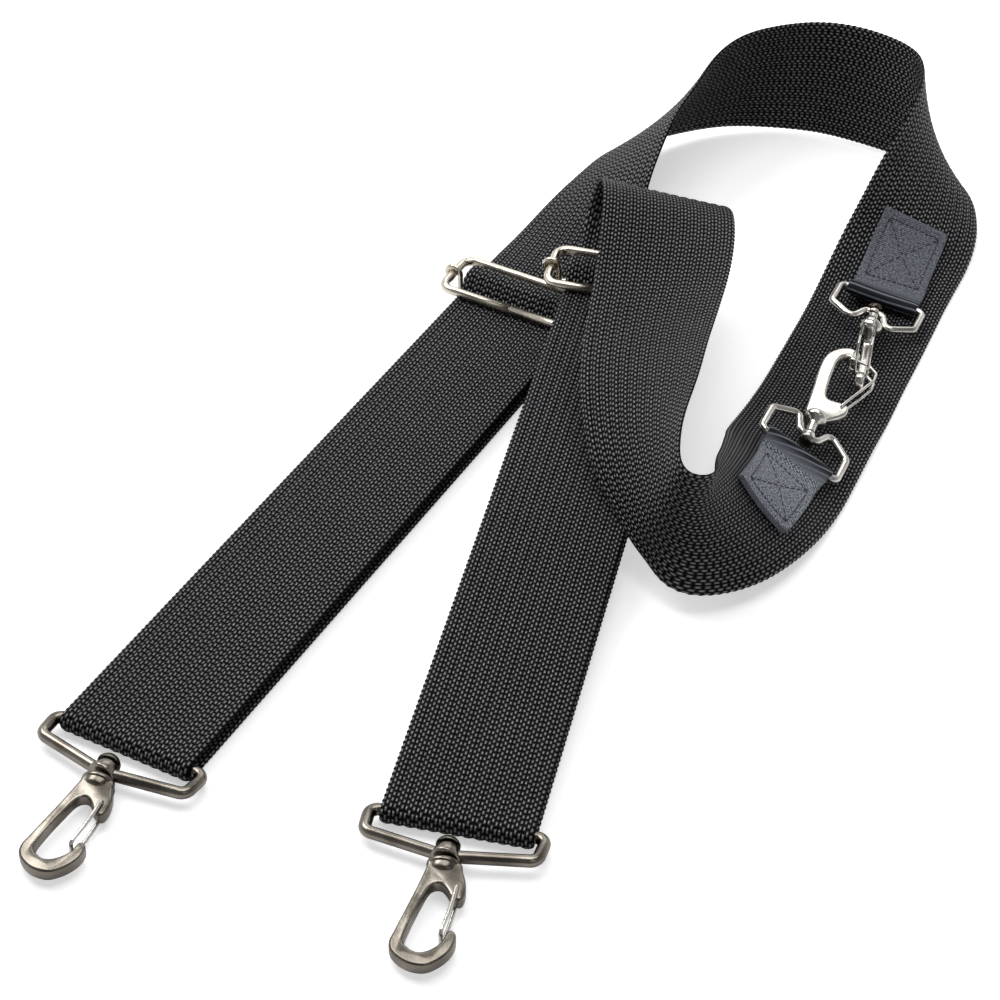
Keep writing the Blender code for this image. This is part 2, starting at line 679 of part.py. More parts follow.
def end_hook(side, leg, pitch, hook, mats):
    """The base leans on its boss whatever its leg's pitch, and the body droops from it to the table."""
    frame = leg @ Matrix.Translation((0, -hook["shift"], FOLD_AXIS))
    frame = frame @ Matrix.Rotation(pitch + HOOK_LIFT, 4, "Y") @ Matrix.Rotation(math.pi, 4, "Z")
    hook_base(side + "_hook_base", mats["base"], frame)
    swivel = body_frame(frame, hook["yaw"])
    pulled = AXIAL_PLAY * hook["pulled_share"]
    inner = -BOSS_LENGTH / 2 - AXIAL_PLAY + pulled
    start = BOSS_LENGTH / 2 + pulled
    swivel_rivet(side + "_hook_swivel_rivet", mats["body"], swivel, SHANK_RADIUS, DOME_RADIUS, DOME_HEIGHT,
                 inner, start - GAP)
    hook_body(side + "_hook_body", mats["body"], swivel, start)
    wire_gate(side + "_hook_gate", mats["wire"], swivel, BODY_GATE_SHARES, BODY_LENGTH, BODY_THICK, start,
              GATE_WIRE)


# Tabs and small hooks

def patch_point(corner_shares, along, across, height):
    """A point over the strap inside four corners: near left, near right, far left, far right."""
    near_left, near_right, far_left, far_right = np.array(corner_shares) * LAY
    near = near_left + (near_right - near_left) * across
    far = far_left + (far_right - far_left) * across
    place = near + (far - near) * along
    return strap_point(place[0], place[1], height)


def small_frame(place):
    """The small base's frame on its bar: X points to the other hook."""
    along, side, height = (share * LAY for share in place["bar_shares"])
    frame = strap_frame(along, side, height, place["turn"])
    if place["flipped"]:
        frame = frame @ Matrix.Rotation(math.pi, 4, "Z")
    return frame @ Matrix.Rotation(place["tilt"], 4, "X") @ Matrix.Rotation(-place["lift"], 4, "Y")


def tab(name, place, mat):
    """A doubled tape sewn flat on the strap, then free up to the eye that holds the base's bar."""
    corners = place["corner_shares"]
    bar = small_frame(place)
    low_height = WEB_THICK / 2 + GAP
    high_height = low_height + 2 * TAPE_THICK
    low = []
    high = []
    for row in range(TAB_ROWS + 1):
        along = 1 - row / TAB_ROWS
        shares = [column / TAB_COLUMNS for column in range(TAB_COLUMNS + 1)]
        low.append([patch_point(corners, along, across, low_height) for across in shares])
        high.append([patch_point(corners, along, across, high_height) for across in shares])
    left_to_right = -1 if place["flipped"] else 1
    reach = TAPE_WIDTH * left_to_right
    lip = [bar @ Vector((-EYE_RADIUS / 2, (across - 1 / 2) * reach, 0)) for across in shares]
    rise = bar.to_3x3() @ Vector((0, 0, TAPE_THICK))
    low.append([point - rise for point in lip])
    high.append([point + rise for point in lip])
    bm = bmesh.new()
    slab(bm, low, high)
    made = add_object(name, bm, mat, Matrix.Identity(4))
    half = Vector((0, TAPE_WIDTH / 2 + GAP, 0))
    bm = bmesh.new()
    tube(bm, [-half, half], EYE_RADIUS, sides=ROUND_SIDES * 2)
    boolean(made, add_object(name + "_eye", bm, mat, bar), "UNION")
    bm = bmesh.new()
    tube(bm, [-2 * half, 2 * half], SMALL_WIRE / 2 + GAP, sides=ROUND_SIDES * 2)
    boolean(made, add_object(name + "_bore", bm, mat, bar), "DIFFERENCE")
    return made


def tab_stitching(name, place, mat):
    """A sewn square, standing just proud of the tape."""
    low_height = WEB_THICK / 2 + GAP + 2 * TAPE_THICK + GAP
    near, far = STITCH_INSET_SHARE, 1 - STITCH_INSET_SHARE
    corners = ((near, near), (near, far), (far, far), (far, near))
    bm = bmesh.new()
    rings = []
    for start, end in zip(corners, corners[1:] + corners[:1]):
        for k in range(TAB_ROWS):
            share = k / TAB_ROWS
            outer = [a + (b - a) * share for a, b in zip(start, end)]
            inner = [1 / 2 + (value - 1 / 2) * STITCH_INNER_SHARE for value in outer]
            places = ((outer, low_height), (inner, low_height), (inner, low_height + STITCH_THICK),
                      (outer, low_height + STITCH_THICK))
            rings.append([bm.verts.new(patch_point(place["corner_shares"], along, across, height))
                          for (along, across), height in places])
    for a, b in zip(rings, rings[1:] + rings[:1]):
        for k in range(4):
            following = (k + 1) % 4
            bm.faces.new((a[k], a[following], b[following], b[k]))
    return add_object(name, bm, mat, Matrix.Identity(4))


def small_base(name, mat, frame):
    """A cast loop with cut corners and a deep arch for the head of the hook."""
    wide = SMALL_HALF_WIDTH
    dip = SMALL_DIP_HALF_WIDTH
    pocket = SMALL_POCKET_HALF_WIDTH
    half = [(0, wide, 0), (SMALL_SIDE, wide, 0), (SMALL_DIP, dip, 0), (SMALL_ARCH, pocket, 0)]
    corners = half + [(x, -y, z) for x, y, z in reversed(half)]
    bm = bmesh.new()
    tube(bm, rounded(corners, SMALL_WIRE, True), SMALL_WIRE / 2, closed=True, sides=WIRE_SIDES)
    base = add_object(name, bm, mat, frame)
    boss = (SMALL_ARCH - SMALL_WIRE / 2, SMALL_ARCH + SMALL_WIRE / 2)
    bm = bmesh.new()
    turned(bm, [(along, SMALL_BOSS_RADIUS) for along in boss], sides=ROUND_SIDES * 2)
    boolean(base, add_object(name + "_boss", bm, mat, frame), "UNION")
    bm = bmesh.new()
    bore = (SMALL_ARCH - SMALL_WIRE, SMALL_ARCH + SMALL_WIRE)
    turned(bm, [(along, SMALL_SHANK_RADIUS + SMALL_BORE_PLAY) for along in bore], sides=ROUND_SIDES)
    boolean(base, add_object(name + "_bore", bm, mat, frame), "DIFFERENCE")
    return base


def small_hook(side, place, mats):
    frame = small_frame(place)
    small_base(side + "_small_hook_base", mats["small"], frame)
    swivel = frame @ Matrix.Translation((SMALL_ARCH, 0, 0))
    swivel = swivel @ Matrix.Rotation(place["yaw"], 4, "Z") @ Matrix.Rotation(place["roll"], 4, "X")
    start = SMALL_WIRE / 2 + SMALL_PLAY / 2
    swivel_rivet(side + "_small_hook_swivel", mats["small"], swivel, SMALL_SHANK_RADIUS, SMALL_DOME_RADIUS,
                 SMALL_DOME_HEIGHT, -start, start - GAP)
    body = cast_body(side + "_small_hook_body", mats["small"], swivel, SMALL_SHARES, SMALL_PIVOT_SHARES,
                     SMALL_LENGTH, SMALL_THICK, SMALL_BEVEL, start, SMALL_GATE_WIRE)
    bm = bmesh.new()
    neck = start + SMALL_NECK_LENGTH
    profile = [(start, SMALL_NECK_RADIUS), (neck, SMALL_NECK_RADIUS)]
    for along, out in SMALL_COLLAR_SHARES:
        profile.append((neck + SMALL_COLLAR_LENGTH * along, SMALL_COLLAR_RADIUS * out))
    turned(bm, profile, sides=ROUND_SIDES * 2)
    boolean(body, add_object(side + "_small_hook_collar", bm, mats["small"], swivel), "UNION")
    wire_gate(side + "_small_hook_gate", mats["wire"], swivel, SMALL_GATE_SHARES, SMALL_LENGTH, SMALL_THICK,
              start, SMALL_GATE_WIRE)


# The whole strap

def build():
    clear_scene()
    web = material("black_webbing", (0.022, 0.022, 0.024), 0.85, 0.0)
    thread = material("black_thread", (0.015, 0.015, 0.016), 0.7, 0.0)
    tape = material("slate_tape", (0.075, 0.088, 0.105), 0.85, 0.0)
    mats = {
        "base": material("gunmetal_loop", (0.33, 0.31, 0.29), 0.28, 1.0),
        "body": material("gunmetal_casting", (0.30, 0.28, 0.26), 0.32, 1.0),
        "wire": material("nickel_wire", (0.55, 0.53, 0.50), 0.25, 1.0),
        "small": material("bright_nickel", (0.62, 0.60, 0.56), 0.24, 1.0),
    }
    strap_webbing(web)
    legs = (("left", LEFT_LEG, 0, LEFT_HOOK), ("right", RIGHT_LEG, RIGHT_PITCH, RIGHT_HOOK))
    for side, leg, pitch, hook in legs:
        lower_ply(side + "_lower_ply", leg, web)
        sewn_end(side + "_sewn_end", leg, web)
        bartack(side + "_end_bartack", leg, thread)
        slider_frame(side + "_slider_frame", leg, mats["small"])
        slider_centre_bar(side + "_slider_centre_bar", leg, mats["small"])
        end_hook(side, leg, pitch, hook, mats)
    for side, place in (("upper", UPPER_PLACE), ("lower", LOWER_PLACE)):
        tab(side + "_tab", place, tape)
        tab_stitching(side + "_tab_stitching", place, thread)
        small_hook(side, place, mats)


build()
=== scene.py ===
"""Looks of a webbing shoulder strap with end hooks, sliders and two linked small hooks on tabs."""
import math

import bmesh
import bpy
import numpy as np
from mathutils import Matrix, Vector


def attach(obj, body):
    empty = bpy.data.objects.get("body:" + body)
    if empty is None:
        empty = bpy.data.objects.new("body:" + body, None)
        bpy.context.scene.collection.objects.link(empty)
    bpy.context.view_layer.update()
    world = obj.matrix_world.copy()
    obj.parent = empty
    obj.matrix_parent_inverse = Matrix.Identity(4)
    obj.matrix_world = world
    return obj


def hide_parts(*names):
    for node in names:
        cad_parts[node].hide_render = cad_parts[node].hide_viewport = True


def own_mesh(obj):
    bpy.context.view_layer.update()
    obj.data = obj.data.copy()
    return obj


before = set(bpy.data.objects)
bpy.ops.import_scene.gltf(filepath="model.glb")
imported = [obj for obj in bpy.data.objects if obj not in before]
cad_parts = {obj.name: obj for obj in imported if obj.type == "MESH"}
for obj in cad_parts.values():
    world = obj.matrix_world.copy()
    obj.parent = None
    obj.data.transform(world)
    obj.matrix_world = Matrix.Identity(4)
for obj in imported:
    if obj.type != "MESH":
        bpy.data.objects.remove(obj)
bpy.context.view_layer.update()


# Table, light and camera
# The strap lies on a plain white table top under soft lamps to the left, beyond it and above,
# with a weak one in front, and is seen from the front and well above.

CAMERA_PLACE = Vector((-0.0206, -0.8192, 0.6937))
CAMERA_TARGET = Vector((-0.0206, -0.0098, 0.0))
CAMERA_LENS = 106.6
CAMERA_SENSOR = 36.0
CAMERA_NEAR = 0.01
TABLE_SIZE = 12.0
TABLE_DROP = 0.0003
TABLE_COLOUR = (0.86, 0.86, 0.87, 1.0)
TABLE_LIFT = 0.50
ROOM_LIGHT_NEAR = 0.20
ROOM_LIGHT_FAR = 0.95
ROOM_WHITE = (1.0, 1.0, 1.0, 1.0)
ROOM_GREY = (0.34, 0.34, 0.35, 1.0)
LAMPS = (
    ("soft_lamp_left", (-0.80, 0.65, 1.35), (1.0, 0.8), 13.0),
    ("soft_lamp_far", (0.30, 1.40, 1.10), (1.2, 0.6), 3.5),
    ("soft_lamp_above", (0.15, 0.20, 1.70), (1.1, 1.1), 12.0),
    ("soft_lamp_front", (0.55, -1.10, 1.10), (0.8, 0.5), 0.8),
)


def aim(obj, target):
    obj.rotation_euler = (target - obj.location).to_track_quat("-Z", "Y").to_euler()


def start_material(name):
    """A new material with its node tree and its shader."""
    made = bpy.data.materials.new(name)
    made.use_nodes = True
    return made, made.node_tree, made.node_tree.nodes["Principled BSDF"]


def feed(tree, node, **settings):
    """Gives a node its settings: the name of an input sets it to a number or links it to another
    node's output, and any other name sets an attribute."""
    for name, value in settings.items():
        socket = node.inputs.get(" ".join(word[0].upper() + word[1:] for word in name.split("_")))
        if socket is None:
            setattr(node, name, value)
        elif isinstance(value, bpy.types.NodeSocket):
            tree.links.new(value, socket)
        else:
            socket.default_value = value
    return node


def new_node(tree, kind, **settings):
    """A new node of the kind with its settings."""
    return feed(tree, tree.nodes.new(kind), **settings)


def calculate(tree, operation, *operands):
    """The result of a sum, each of whose operands is a number or another node's output."""
    node = new_node(tree, "ShaderNodeMath", operation=operation)
    for socket, operand in zip(node.inputs, operands):
        if isinstance(operand, bpy.types.NodeSocket):
            tree.links.new(operand, socket)
        else:
            socket.default_value = operand
    return node.outputs[0]


def remap(tree, value, **ends):
    """The value carried from one range to another, each from 0 to 1 where its ends aren't given."""
    return new_node(tree, "ShaderNodeMapRange", value=value, **ends).outputs[0]


def colour_ramp(tree, value, *stops):
    """A colour that runs through the (position, colour) stops with the value."""
    node = tree.nodes.new("ShaderNodeValToRGB")
    elements = node.color_ramp.elements
    for element, stop in zip(elements, (stops[0], stops[-1])):
        element.position, element.color = stop
    for position, colour in stops[1:-1]:
        elements.new(position).color = colour
    tree.links.new(value, node.inputs[0])
    return node.outputs[0]


def add_camera():
    data = bpy.data.cameras.new("camera")
    data.lens = CAMERA_LENS
    data.sensor_width = CAMERA_SENSOR
    data.clip_start = CAMERA_NEAR
    camera = bpy.data.objects.new("camera", data)
    camera.location = CAMERA_PLACE
    aim(camera, CAMERA_TARGET)
    bpy.context.scene.collection.objects.link(camera)
    bpy.context.scene.camera = camera


def add_lamp(name, place, size, power):
    data = bpy.data.lights.new(name, "AREA")
    data.shape = "RECTANGLE"
    data.size, data.size_y = size
    data.energy = power
    lamp = bpy.data.objects.new(name, data)
    lamp.location = place
    aim(lamp, Vector((0.0, 0.0, 0.0)))
    bpy.context.scene.collection.objects.link(lamp)


def add_table():
    """White melamine: the camera's own rays see it a little lighter, and the shadows stay."""
    bm = bmesh.new()
    bmesh.ops.create_grid(bm, x_segments=1, y_segments=1, size=TABLE_SIZE / 2)
    mesh = bpy.data.meshes.new("table")
    bm.to_mesh(mesh)
    bm.free()
    table = bpy.data.objects.new("table", mesh)
    table.location = (0.0, 0.0, -TABLE_DROP)
    bpy.context.scene.collection.objects.link(table)
    made, tree, shader = start_material("white_table_top")
    path = tree.nodes.new("ShaderNodeLightPath")
    lift = calculate(tree, "MULTIPLY", path.outputs["Is Camera Ray"], TABLE_LIFT)
    feed(tree, shader, base_color=TABLE_COLOUR, roughness=0.9, specular_IOR_level=0.1,
         emission_color=ROOM_WHITE, emission_strength=lift)
    mesh.materials.append(made)


def add_room():
    """A pale room: white towards the horizon, greyer overhead and dim on the near side."""
    world = bpy.data.worlds.new("room")
    bpy.context.scene.world = world
    world.use_nodes = True
    tree = world.node_tree
    place = tree.nodes.new("ShaderNodeTexCoord").outputs["Generated"]
    parts = new_node(tree, "ShaderNodeSeparateXYZ", vector=place).outputs
    colour = colour_ramp(tree, parts["Z"], (0.10, ROOM_WHITE), (0.75, ROOM_GREY))
    strength = remap(tree, parts["Y"], from_min=-1.0, to_min=ROOM_LIGHT_NEAR, to_max=ROOM_LIGHT_FAR)
    feed(tree, tree.nodes["Background"], color=colour, strength=strength)


bpy.context.scene.view_settings.view_transform = "Standard"
add_camera()
for lamp_name, lamp_place, lamp_size, lamp_power in LAMPS:
    add_lamp(lamp_name, lamp_place, lamp_size, lamp_power)
add_table()
add_room()


# Strap
# One 50 mm band of black nylon webbing, woven in ribs three beads wide with firm edges.
# It is threaded round each hook's bar, and lies on the table in an arch, a curl and a hump.

GAP = 0.0003
WEB_WIDTH = 0.050
WEB_THICK = 0.0018
HOOK_WIRE = 0.0042
BAR_WIRE = 0.0021
FRAME_WIRE = 0.0030
STUB_LENGTH = 0.012
LAY = 0.1
LAY_CENTRE_SHARES = (0.206, 0.098)
LEFT_HINGE_SHARES = (-1.212, -1.273)
RIGHT_HINGE_SHARES = (-0.133, -1.626)
LEFT_HEADING = math.radians(60.9)
RIGHT_HEADING = math.radians(76.2)
RIGHT_PITCH = math.radians(3.5)
LEG_STRAIGHT = 0.288
KEY_STEP = 0.020
SPAN_STEPS = 10
SMOOTH_PASSES = 10
TRAVEL_REACH = 0.003
RIBS = 13
RIB_WIDTH = WEB_WIDTH / RIBS
BEADS_A_RIB = 3
BEAD_WIDTH = RIB_WIDTH / BEADS_A_RIB
BEAD_PITCH = 0.0023
WEAVE_STEP = BEAD_PITCH / 2
RIB_COLUMNS = 4
RIB_DEPTH_SHARES = (0.0, 0.75, 1.0, 0.75)
RIB_DEPTH = 0.00042
BEAD_DEPTH = 0.00014
EDGE_ROUND = 0.0005
EDGE_BEAD = 0.00022
LOWER_PLY = WEB_THICK / 2
FOLD_RADIUS = HOOK_WIRE / 2 + GAP + WEB_THICK / 2
FOLD_AXIS = LOWER_PLY + FOLD_RADIUS
UPPER_PLY = FOLD_AXIS + FOLD_RADIUS
BAR_HEIGHT = UPPER_PLY - WEB_THICK - GAP - WEB_THICK / 2 - GAP - BAR_WIRE / 2 + GAP / 2
FRAME_HEIGHT = UPPER_PLY + WEB_THICK / 2 + GAP + FRAME_WIRE / 2
SLIDER_PLACE = 0.2700
FRAME_SPACING = 0.0208
SLIDER_BULGE = 0.0068
SLIDER_BULGE_HALF = FRAME_SPACING / 2 - FRAME_WIRE / 2

STATION_SHARES = (
    ((0.08, 1.57, 0.05), (0.49, 1.33, 0.14)),
    ((0.18, 1.76, 0.05), (0.56, 1.50, 0.24)),
    ((0.29, 1.93, 0.06), (0.62, 1.66, 0.34)),
    ((0.42, 2.09, 0.07), (0.69, 1.84, 0.41)),
    ((0.59, 2.22, 0.06), (0.78, 2.00, 0.46)),
    ((0.77, 2.32, 0.04), (0.88, 2.18, 0.50)),
    ((0.96, 2.38, 0.03), (1.02, 2.32, 0.52)),
    ((1.15, 2.39, 0.02), (1.20, 2.40, 0.51)),
    ((1.34, 2.35, 0.02), (1.39, 2.41, 0.51)),
    ((1.52, 2.27, 0.02), (1.56, 2.34, 0.50)),
    ((1.69, 2.16, 0.02), (1.69, 2.19, 0.50)),
    ((1.83, 2.01, 0.02), (1.68, 1.99, 0.49)),
    ((1.91, 1.82, 0.03), (1.60, 1.81, 0.42)),
    ((1.91, 1.62, 0.03), (1.50, 1.68, 0.31)),
    ((1.87, 1.45, 0.02), (1.42, 1.57, 0.20)),
    ((1.80, 1.29, 0.02), (1.34, 1.45, 0.10)),
    ((1.73, 1.13, 0.01), (1.27, 1.32, 0.04)),
    ((1.66, 0.96, 0.01), (1.20, 1.15, 0.02)),
    ((1.59, 0.78, 0.01), (1.12, 0.97, 0.02)),
    ((1.51, 0.60, 0.01), (1.05, 0.80, 0.02)),
    ((1.44, 0.43, 0.01), (0.98, 0.62, 0.04)),
    ((1.36, 0.25, 0.02), (0.91, 0.45, 0.07)),
    ((1.28, 0.07, 0.02), (0.85, 0.27, 0.14)),
    ((1.19, -0.14, 0.02), (0.81, 0.09, 0.25)),
    ((1.06, -0.35, 0.04), (0.78, -0.11, 0.39)),
    ((0.89, -0.51, 0.06), (0.74, -0.32, 0.50)),
    ((0.68, -0.57, 0.08), (0.67, -0.51, 0.57)),
    ((0.51, -0.48, 0.12), (0.60, -0.53, 0.61)),
    ((0.41, -0.30, 0.18), (0.61, -0.36, 0.63)),
    ((0.32, -0.10, 0.26), (0.66, -0.14, 0.62)),
    ((0.29, 0.11, 0.33), (0.71, 0.07, 0.60)),
    ((0.29, 0.33, 0.37), (0.75, 0.27, 0.56)),
    ((0.31, 0.54, 0.40), (0.80, 0.48, 0.53)),
    ((0.35, 0.75, 0.44), (0.84, 0.69, 0.51)),
    ((0.38, 0.96, 0.51), (0.87, 0.91, 0.50)),
    ((0.39, 1.16, 0.56), (0.88, 1.12, 0.47)),
    ((0.38, 1.32, 0.48), (0.86, 1.26, 0.38)),
    ((0.34, 1.33, 0.33), (0.82, 1.22, 0.27)),
)


def lay_point(shares):
    """A point of the lay, moved so that the whole part stands over the origin."""
    return np.array([
        (shares[0] - LAY_CENTRE_SHARES[0]) * LAY,
        (shares[1] - LAY_CENTRE_SHARES[1]) * LAY,
        shares[2] * LAY if len(shares) > 2 else 0.0,
    ])


def leg_frame(hinge_shares, heading, pitch):
    """A leg's frame: X along the strap from the hook, Y to its left, Z up from the lower face."""
    level = math.cos(pitch)
    along = Vector((math.cos(heading) * level, math.sin(heading) * level, math.sin(pitch)))
    left = Vector((-math.sin(heading), math.cos(heading), 0))
    up = along.cross(left)
    hinge = lay_point(hinge_shares)
    made = Matrix((along, left, up)).transposed().to_4x4()
    made.translation = Vector((hinge[0], hinge[1], FOLD_AXIS)) - up * FOLD_AXIS
    return made


def leg_edges(leg, along):
    return [np.array(leg @ Vector((along, side, UPPER_PLY))) for side in (WEB_WIDTH / 2, -WEB_WIDTH / 2)]


def unit(rows):
    return rows / np.linalg.norm(rows, axis=-1, keepdims=True)


def curve_point(a, b, c, d, t):
    """A point of the smooth line from b to c, with a before them and d after them."""
    return (2 * b + (c - a) * t + (2 * a - 5 * b + 4 * c - d) * t**2 + (3 * b - a - 3 * c + d) * t**3) / 2


def spline(keys):
    """A smooth line through the keys, with SPAN_STEPS to a span."""
    rows = []
    padded = np.concatenate([[2 * keys[0] - keys[1]], keys, [2 * keys[-1] - keys[-2]]])
    for a, b, c, d in zip(padded, padded[1:], padded[2:], padded[3:]):
        rows += [curve_point(a, b, c, d, k / SPAN_STEPS) for k in range(SPAN_STEPS)]
    rows.append(keys[-1])
    return np.array(rows)


def strap_route():
    """Length along, centre and outward direction of the strap between its two folds."""
    spans = round(LEG_STRAIGHT / KEY_STEP)
    lengths = [LEG_STRAIGHT * k / spans for k in range(spans + 1)]
    keys = [leg_edges(LEFT_LEG, along) for along in lengths]
    keys += [[lay_point(outer), lay_point(inner)] for outer, inner in STATION_SHARES]
    keys += [leg_edges(RIGHT_LEG, along) for along in reversed(lengths)]
    rows = spline(np.array(keys))
    first = spans * SPAN_STEPS
    last = len(rows) - 1 - first
    straight = rows.copy()
    for _ in range(SMOOTH_PASSES):
        rows[1:-1] = (rows[:-2] + 2 * rows[1:-1] + rows[2:]) / 4
        rows[:first] = straight[:first]
        rows[last + 1:] = straight[last + 1:]
    centre = rows.mean(axis=1)
    travel = unit(np.gradient(centre, axis=0))
    out = rows[:, 0] - rows[:, 1]
    out = unit(out - (out * travel).sum(axis=1, keepdims=True) * travel)
    length = np.concatenate([[0], np.cumsum(np.linalg.norm(np.diff(centre, axis=0), axis=1))])
    return length, centre, out


LEFT_LEG = leg_frame(LEFT_HINGE_SHARES, LEFT_HEADING, 0)
RIGHT_LEG = leg_frame(RIGHT_HINGE_SHARES, RIGHT_HEADING, RIGHT_PITCH)
ROUTE_LENGTH, ROUTE_CENTRE, ROUTE_OUT = strap_route()
STRAP_LENGTH = ROUTE_LENGTH[-1]


def along_route(along, rows):
    return np.array([np.interp(along, ROUTE_LENGTH, rows[:, k]) for k in range(3)])


def route_row(along):
    """Centre, outward direction and normal of the strap at a distance from the left fold."""
    ahead = along_route(along + TRAVEL_REACH, ROUTE_CENTRE)
    behind = along_route(along - TRAVEL_REACH, ROUTE_CENTRE)
    travel = unit(ahead - behind)
    out = along_route(along, ROUTE_OUT)
    out = unit(out - travel * (out @ travel))
    return along_route(along, ROUTE_CENTRE), out, np.cross(travel, out)


def slider_bulge(along):
    """How far the webbing stands up between a slider's bars, as a share of the full bulge."""
    away = min(abs(along - SLIDER_PLACE), abs(STRAP_LENGTH - along - SLIDER_PLACE)) / SLIDER_BULGE_HALF
    return 1 - (1 - math.cos(away * math.pi / 2) ** 2) ** 2 if away < 1 else 0.0


def fold_rows(leg, last_first):
    """Rows of one hook fold, from the end of the short lower ply round the bar to the upper ply."""
    axes = leg.to_3x3()
    out = axes @ Vector((0, 1, 0))
    up = axes @ Vector((0, 0, 1))
    rows = []
    stub_steps = round(STUB_LENGTH / WEAVE_STEP)
    for k in range(stub_steps):
        along = STUB_LENGTH * (1 - k / stub_steps)
        rows.append((leg @ Vector((along, 0, LOWER_PLY)), out, -up))
    steps = round(math.pi * FOLD_RADIUS / (WEAVE_STEP / 2))
    for k in range(steps):
        turn = math.pi * k / steps
        away = Vector((-math.sin(turn), 0, -math.cos(turn)))
        rows.append((leg @ (Vector((0, 0, FOLD_AXIS)) + away * FOLD_RADIUS), out, axes @ away))
    if last_first:
        rows = [(centre, across, -normal) for centre, across, normal in reversed(rows)]
    return rows


def strap_rows():
    rows = fold_rows(LEFT_LEG, False)
    steps = round(STRAP_LENGTH / WEAVE_STEP)
    for k in range(steps + 1):
        along = STRAP_LENGTH * k / steps
        centre, out, normal = route_row(along)
        facing = 1 if normal[2] > 0 else -1
        rows.append((centre + normal * facing * SLIDER_BULGE * slider_bulge(along), out, normal))
    return rows + fold_rows(RIGHT_LEG, True)


def join_rings(bm, rings):
    """Faces between each ring of corners and the next."""
    for a, b in zip(rings, rings[1:]):
        for k in range(len(a)):
            following = (k + 1) % len(a)
            bm.faces.new((a[k], a[following], b[following], b[k]))


def join_and_close(bm, rings):
    """The joined rings with a face over each end."""
    join_rings(bm, rings)
    bm.faces.new(rings[0])
    bm.faces.new(list(reversed(rings[-1])))


def woven_band(name, rows):
    """A band of ribbed webbing through rows of (centre, across, normal), and its length.

    Both faces carry the ribs, the edges stand out at every other row, and each point keeps
    its place in the weave, across and along in metres, for the material."""
    columns = RIBS * RIB_COLUMNS
    bm = bmesh.new()
    weave = bm.verts.layers.float_vector.new("weave")
    rings = []
    length = 0.0
    last = None
    for index, (centre, across, normal) in enumerate(rows):
        centre, across, normal = Vector(centre), Vector(across), Vector(normal)
        length += (centre - last).length if last is not None else 0.0
        last = centre
        section = []
        for face in (1, -1):
            order = range(columns + 1) if face > 0 else reversed(range(columns + 1))
            for k in order:
                share = k / columns - 1 / 2
                depth = RIB_DEPTH * (1 - RIB_DEPTH_SHARES[k % RIB_COLUMNS])
                if (index + k // 2) % 2 and k % RIB_COLUMNS:
                    depth += BEAD_DEPTH
                if k in (0, columns):
                    depth = EDGE_ROUND
                section.append((share * (WEB_WIDTH - EDGE_ROUND), face * (WEB_THICK / 2 - depth)))
            edge = face * (WEB_WIDTH / 2 + (EDGE_BEAD if index % 2 else -EDGE_BEAD))
            section.append((edge, 0.0))
        ring = []
        for side, height in section:
            vert = bm.verts.new(centre + across * side + normal * height)
            vert[weave] = (side, length, 0.0)
            ring.append(vert)
        rings.append(ring)
    join_and_close(bm, rings)
    return finish_piece(name, bm), length


def finish_piece(name, bm, place=None, sharp=None):
    """An object of the mesh, shaded smooth up to the sharp angle, with even normals."""
    bmesh.ops.recalc_face_normals(bm, faces=bm.faces)
    mesh = bpy.data.meshes.new(name)
    bm.to_mesh(mesh)
    bm.free()
    mesh.shade_smooth()
    if sharp is not None:
        mesh.set_sharp_from_angle(angle=sharp)
    obj = bpy.data.objects.new(name, mesh)
    if place is not None:
        obj.matrix_world = place
    bpy.context.scene.collection.objects.link(obj)
    return obj


def dress(piece, material, body, node):
    """Gives a piece its material and its body, and hides the CAD node that it stands for."""
    piece.data.materials.append(material)
    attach(piece, body)
    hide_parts(node)
    return piece


# The crown colour is a painted highlight on each bead, the side colour a painted half shade, and the groove
# colour painted shade between beads.
NYLON_CROWN_PAINTED_HIGHLIGHT = (0.105, 0.106, 0.116, 1.0)
NYLON_SIDE = (0.022, 0.022, 0.025, 1.0)
NYLON_GROOVE_PAINTED_SHADE = (0.0035, 0.0035, 0.0042, 1.0)
BEAD_GAP = 0.00055
BEAD_LEAN = 0.20
RIB_GAP_PAINTED_SHADE = 0.22
YARN_GRAIN = 0.30
RIB_GAP_START = RIB_WIDTH * 0.34
RIB_GAP_END = RIB_WIDTH * 0.48


def pattern(tree, kind, place, **settings):
    """The value of a procedural pattern over a place in the piece."""
    return new_node(tree, kind, vector=place, **settings).outputs["Fac"]


def raised(tree, height, **settings):
    """The normal of a surface that a height raises."""
    return new_node(tree, "ShaderNodeBump", height=height, **settings).outputs[0]


def weave_place(tree):
    """A point's place in the weave, and the same place split in its three values."""
    place = new_node(tree, "ShaderNodeAttribute", attribute_name="weave").outputs["Vector"]
    return place, new_node(tree, "ShaderNodeSeparateXYZ", vector=place).outputs


